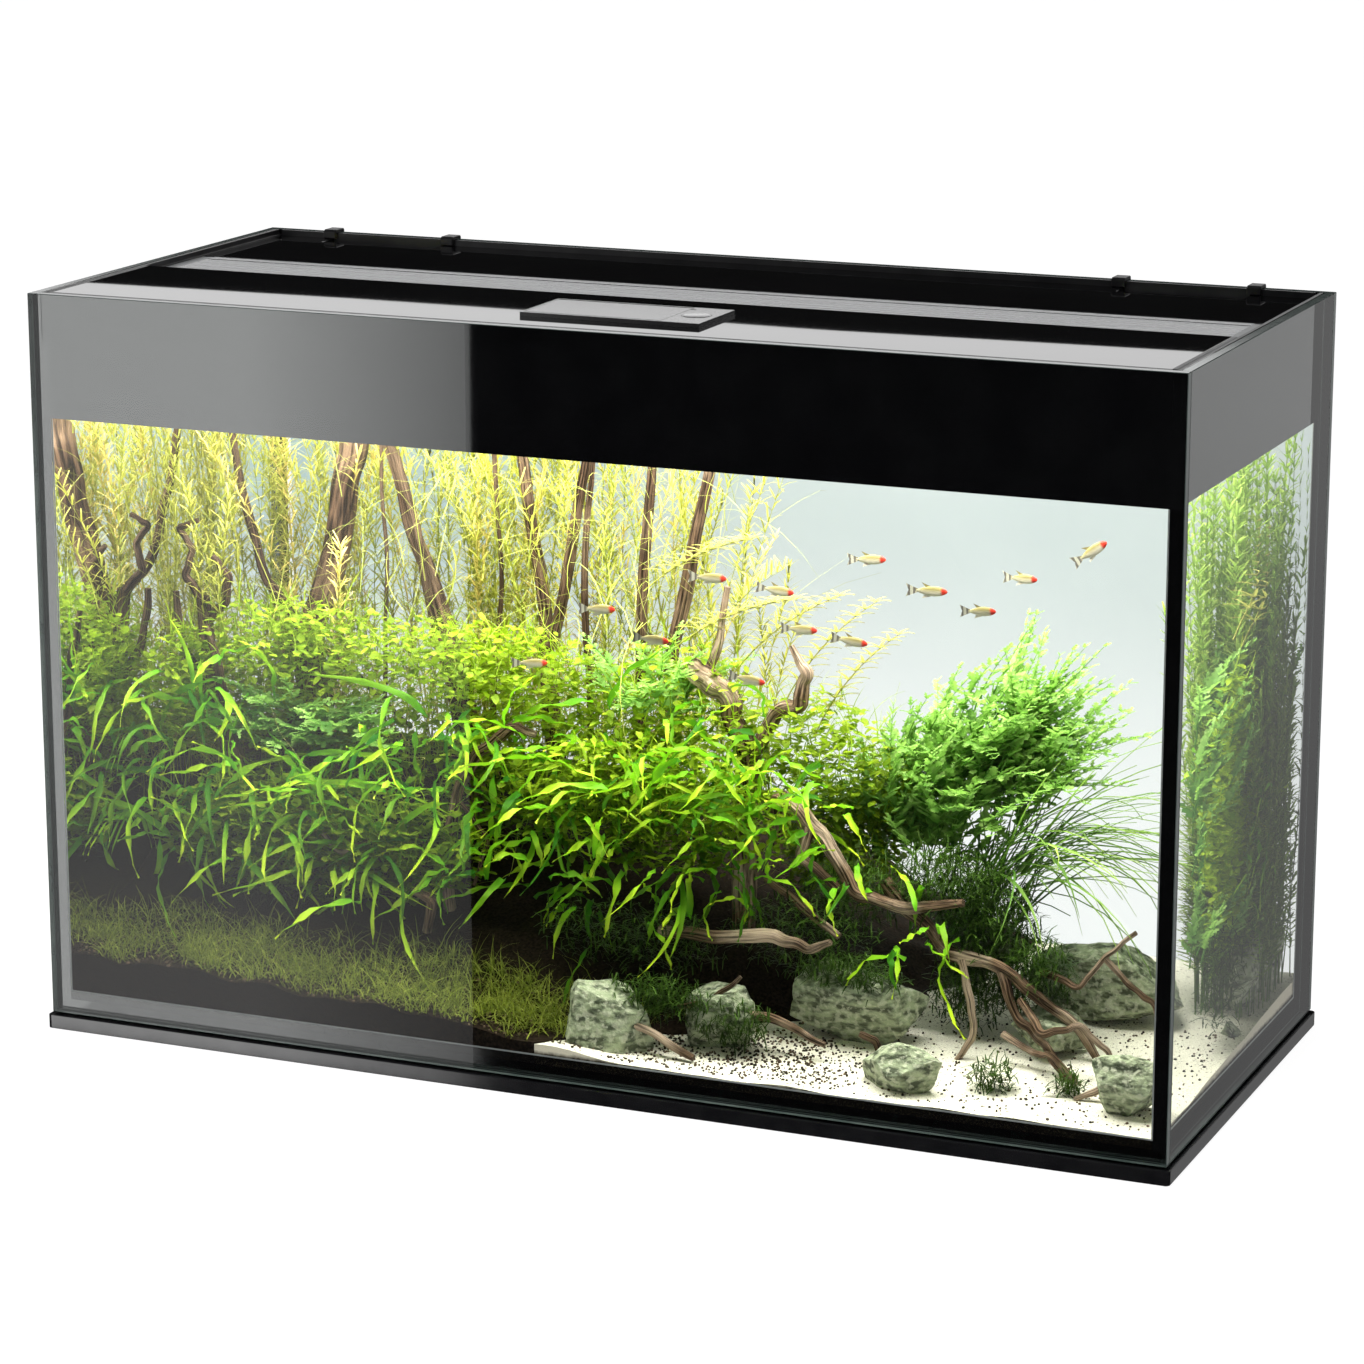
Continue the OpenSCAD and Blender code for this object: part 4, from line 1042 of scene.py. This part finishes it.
# ---- Hairgrass ----
# Short fine grass in tufts along the front left, rooted in the soil.
GRASS_TUFTS, GRASS_BLADES = 260, 5600
thin_blade = shape(3, 1, lambda u, v: (u, v * (1.05 - u), 0 * u))
hair_leaf = leaf_finish("hairgrass_leaf", (0.05, 0.075, 0.008), (0.32, 0.39, 0.05), (0.54, 0.58, 0.12),
                        (0.30, 0.36, 0.05))
tufts = np.stack(rows(GRASS_TUFTS, (-0.484, 0.02), (-0.198, -0.12)), 1)
tufts = tufts[tufts[:, 0] < shore(tufts[:, 1]) - 0.01]
pick = chance.integers(0, len(tufts), GRASS_BLADES)
x, y = (tufts[pick] + chance.normal(0, 0.007, (GRASS_BLADES, 2))).T
y = np.maximum(y, -0.2035)
even, bell = draws(GRASS_BLADES)
grass = grow(thin_blade, np.stack([x, y, soil_level(x, y) - 0.001], 1), even(0, TURN), even(0.6, 1.5),
             even(0.012, 0.036), 0.00112, even(0.2, 2.8), bell(0, 0.4), tint=even(0, 1) ** 1.6)
gather("hairgrass", [grass], hair_leaf, "hairgrass_mat")

# ---- Moss ----
# Dark moss tied over the stones and the foot of the bush, its lower sprigs painted in shade.
moss_leaf = leaf_finish("moss_sprig", (0.010, 0.024, 0.003), (0.055, 0.115, 0.012), (0.10, 0.20, 0.03),
                        (0.05, 0.11, 0.01), 0.25)
# Each pad's number of sprigs, middle and half size
MOSS = [(2300, (0.285, -0.02, 0.115), (0.05, 0.04, 0.06)), (1300, (0.25, -0.03, 0.165), (0.05, 0.035, 0.03)),
        (1100, (0.335, -0.04, 0.10), (0.03, 0.03, 0.035)), (700, (0.04, -0.15, 0.075), (0.05, 0.02, 0.018)),
        (600, (0.105, -0.145, 0.06), (0.035, 0.02, 0.02)), (900, (0.0, -0.10, 0.11), (0.09, 0.03, 0.03)),
        (900, (0.14, -0.07, 0.12), (0.07, 0.03, 0.035)), (260, (0.335, -0.15, 0.045), (0.02, 0.015, 0.016)),
        (160, (0.395, -0.14, 0.042), (0.014, 0.01, 0.012)), (800, (-0.34, -0.07, 0.12), (0.12, 0.03, 0.03)),
        (1700, (0.255, 0.04, 0.125), (0.05, 0.03, 0.05)), (900, (0.17, -0.03, 0.15), (0.05, 0.03, 0.03)),
        (700, (0.19, -0.09, 0.098), (0.05, 0.025, 0.014)), (900, (0.275, -0.03, 0.075), (0.04, 0.03, 0.03)),
        (700, (0.474, 0.02, 0.10), (0.012, 0.05, 0.05))]
pads = []
for count, centre, reach in MOSS:
    at = cloud(count, centre, reach)
    even, bell = draws(count)
    # Painted shade: sprigs low in each pad are darker, sprigs near its top lighter.
    upper = np.clip((at[:, 2] - centre[2]) / reach[2] * 0.5 + 0.6, 0.05, 1)
    pads.append(grow(needle, at, even(0, TURN), bell(0.4, 0.6), even(0.007, 0.016), 0.0016, even(0, 1.5),
                     tint=even(0, 1) * upper))
gather("moss", pads, moss_leaf, "moss_pads")

# ---- Fish ----
# A shoal of small silver fish with red heads and barred tails. Each is one body with a tail fin,
# a back fin and a belly fin.
bpy.ops.mesh.primitive_uv_sphere_add(segments=14, ring_count=9, radius=0.5)
ball, fish_faces = taken()
body = np.stack([ball[:, 2], ball[:, 1], ball[:, 0]], 1)
run = body[:, 0]
deep, wide = (0.225 + 0.03 * np.cos(run * 5)) * (1 + 0.45 * run), 0.11 * (1 + 0.5 * run)
body = np.stack([0.22 + (run + 0.5) * 0.78, body[:, 1] * wide, body[:, 2] * deep], 1)
sheet, sheet_faces = shape(4, 2, lambda u, v: (u, v, 0 * u))
u, v = sheet[:, 0], sheet[:, 1]


def fin(root, along, spread):
    return np.array(root) + np.outer(u, along) + np.outer((v + 0.5) * (1 - 0.6 * u), spread)


tail_fin = np.stack([0.27 * u + 0.03 - 0.14 * np.abs(v) * (1 - u), 0 * u, 2 * v * (0.14 * (1 - u) + 0.028)], 1)
back_fin = fin((0.45, 0, 0.10), (0.16, 0, -0.02), (-0.10, 0, 0.11))
belly_fin = fin((0.42, 0, -0.10), (0.18, 0, 0.0), (-0.06, 0, -0.09))
for k in range(3):
    fish_faces += (sheet_faces + len(body) + k * len(sheet)).tolist()
fish = np.concatenate([body, tail_fin, back_fin, belly_fin])

scales = Finish("fish_scales", Specular_IOR_Level=0.6)
along = scales.attribute("along")
skin = scales.blend(scales.attribute("tint") * 2.2 - 0.5, (0.62, 0.58, 0.44), (0.22, 0.19, 0.07))
bars = scales.blend(scales.ramp(along.maths("SINE", along * 44), 0.1, 0.3), (0.40, 0.39, 0.30), (0.12, 0.11, 0.09))
skin = scales.blend(scales.ramp(along, 0.24, 0.18), skin, bars)
scales.set("Base Color", scales.blend(scales.ramp(along, 0.82, 0.88), skin, (0.50, 0.03, 0.015)))
scales.wear(0.25, 0.45, 400).grain(900, 0.0001)

# Each fish's X and height in millimetres, and its tilt
FISH = [(-24, 394, 0.05), (41, 383, -0.05), (73, 428, 0.0), (124, 418, -0.12), (208, 453, 0.05), (263, 434, 0.0),
        (313, 426, 0.08), (338, 449, 0.04), (401, 479, 0.62), (148, 389, 0.02), (194, 385, -0.1),
        (-97, 336, 0.0), (104, 344, -0.15)]
shoal, shoal_faces = [], []
for x, z, tilt in FISH:
    long = chance.uniform(0.030, 0.034)
    swimmer = turned(turned((fish - (0.5, 0, 0)) * long, 0, 2, tilt), 0, 1, chance.normal(0.1, 0.16))
    shoal_faces += [[i + len(fish) * len(shoal) for i in face] for face in fish_faces]
    shoal.append(swimmer + (x / 1000, -0.12 + chance.normal(0, 0.012), z / 1000))
marks = (np.tile(values, len(FISH)) for values in (fish[:, 0], fish[:, 2] / 0.27 + 0.5))
carry(made("fish_shoal", np.concatenate(shoal), shoal_faces, *marks), "tank", scales)

# ---- Water ----
# Only the water's surface shows, as a clear sheet with small waves just under the lamp.
WATER_WIDTH, WATER_DEPTH, WATER_HEIGHT = 0.982, 0.412, 0.585
bpy.ops.mesh.primitive_grid_add(x_subdivisions=90, y_subdivisions=40, size=1)
surface = bpy.context.object
surface.name = "water_surface"
co = np.array([v.co[:] for v in surface.data.vertices]) * (WATER_WIDTH, WATER_DEPTH, 0)
co[:, 2] = WATER_HEIGHT + ripple(co[:, 0], co[:, 1], 0.03, 0.0008)
surface.data.vertices.foreach_set("co", co.ravel())
bpy.ops.object.shade_smooth_by_angle(angle=math.radians(60))
carry(surface, "tank", pane_finish("water_skin", 1.33, (0.98, 1, 0.995)))


# ---- Studio ----
# A white floor and surround, large soft panels that the glass and the lid mirror, and the
# lamp's own light inside the tank.
def panel(name, places, axis_name, first, second, start, end):
    """A flat softbox that only mirrors see. Its light grows from the first strength to the second
    between two places."""
    finish = Finish(f"{name}_light", Emission_Strength=1.0, Base_Color=(0, 0, 0), Specular_IOR_Level=0.0)
    share = finish.ramp(finish.along(axis_name), start, end)
    finish.set("Emission Color", finish.blend(share, (first,) * 3, (second,) * 3))
    mesh = bpy.data.meshes.new(name)
    mesh.from_pydata(places, [], [[0, 1, 2, 3]])
    box = bpy.data.objects.new(name, mesh)
    scene.collection.objects.link(box)
    mesh.materials.append(finish.material)
    box.visible_camera = box.visible_diffuse = box.visible_shadow = box.visible_transmission = False


panel("front_softbox", [(-1.298, -2.693, -1.0), (-3.2, -2.693, -1.0), (-3.2, -2.693, 1.5), (-1.298, -2.693, 1.5)],
      "X", 0.55, 1.3, -1.298, -1.66)
panel("lid_softbox", [(-2.6, 2.0, 1.0198), (0.8, 2.0, 1.0032), (0.8, 2.0, 1.8), (-2.6, 2.0, 1.8)],
      "X", 1.38, 1.38, -1, 1)
panel("side_softbox", [(0.88, 2.0, -1.0), (1.5, 2.0, -1.0), (1.5, 2.0, 0.9), (0.88, 2.0, 0.9)],
      "Z", 0.40, 0.29, 0.2, -0.4)

bpy.ops.mesh.primitive_plane_add(size=80, location=(0, 0, -0.0004))
floor = bpy.context.object
floor.name = "studio_floor"
floor_paint = Finish("studio_white", Roughness=0.9, Emission_Strength=0.9, Emission_Color=(1, 1, 1),
                     Base_Color=(0.3, 0.3, 0.3))
floor.data.materials.append(floor_paint.material)
floor.visible_glossy = False

world = bpy.data.worlds.new("studio")
world.use_nodes = True
scene.world = world
sky = Nodes(world.node_tree)
camera_ray = sky.node("ShaderNodeLightPath", output="Is Camera Ray")
mirror_ray = sky.node("ShaderNodeLightPath", output="Is Glossy Ray")
background = world.node_tree.nodes["Background"]
sky.plug(background.inputs["Color"], (1, 1, 1))
sky.plug(background.inputs["Strength"], camera_ray * 0.62 + 0.40 - mirror_ray * 0.394)
LAMP_COLOUR = (1, 0.985, 0.94)


def soft_light(name, place, size, power, tilt=0, colour=(1, 1, 1)):
    """A rectangular light that shines downward and isn't seen itself."""
    lamp = bpy.data.lights.new(name, "AREA")
    lamp.shape, lamp.size, lamp.size_y = "RECTANGLE", *size
    lamp.energy, lamp.color = power, colour
    light = bpy.data.objects.new(name, lamp)
    scene.collection.objects.link(light)
    light.location, light.rotation_euler = place, (math.radians(tilt), 0, 0)
    light.visible_camera = light.visible_glossy = False


soft_light("overhead_light", (-0.3, -0.8, 3.0), (2.5, 2.5), 45)
soft_light("lamp_light", (0, 0.03, 0.58), (0.94, 0.32), 14, 0, LAMP_COLOUR)
soft_light("lamp_front_light", (0, -0.165, 0.578), (0.92, 0.05), 5, 22, LAMP_COLOUR)
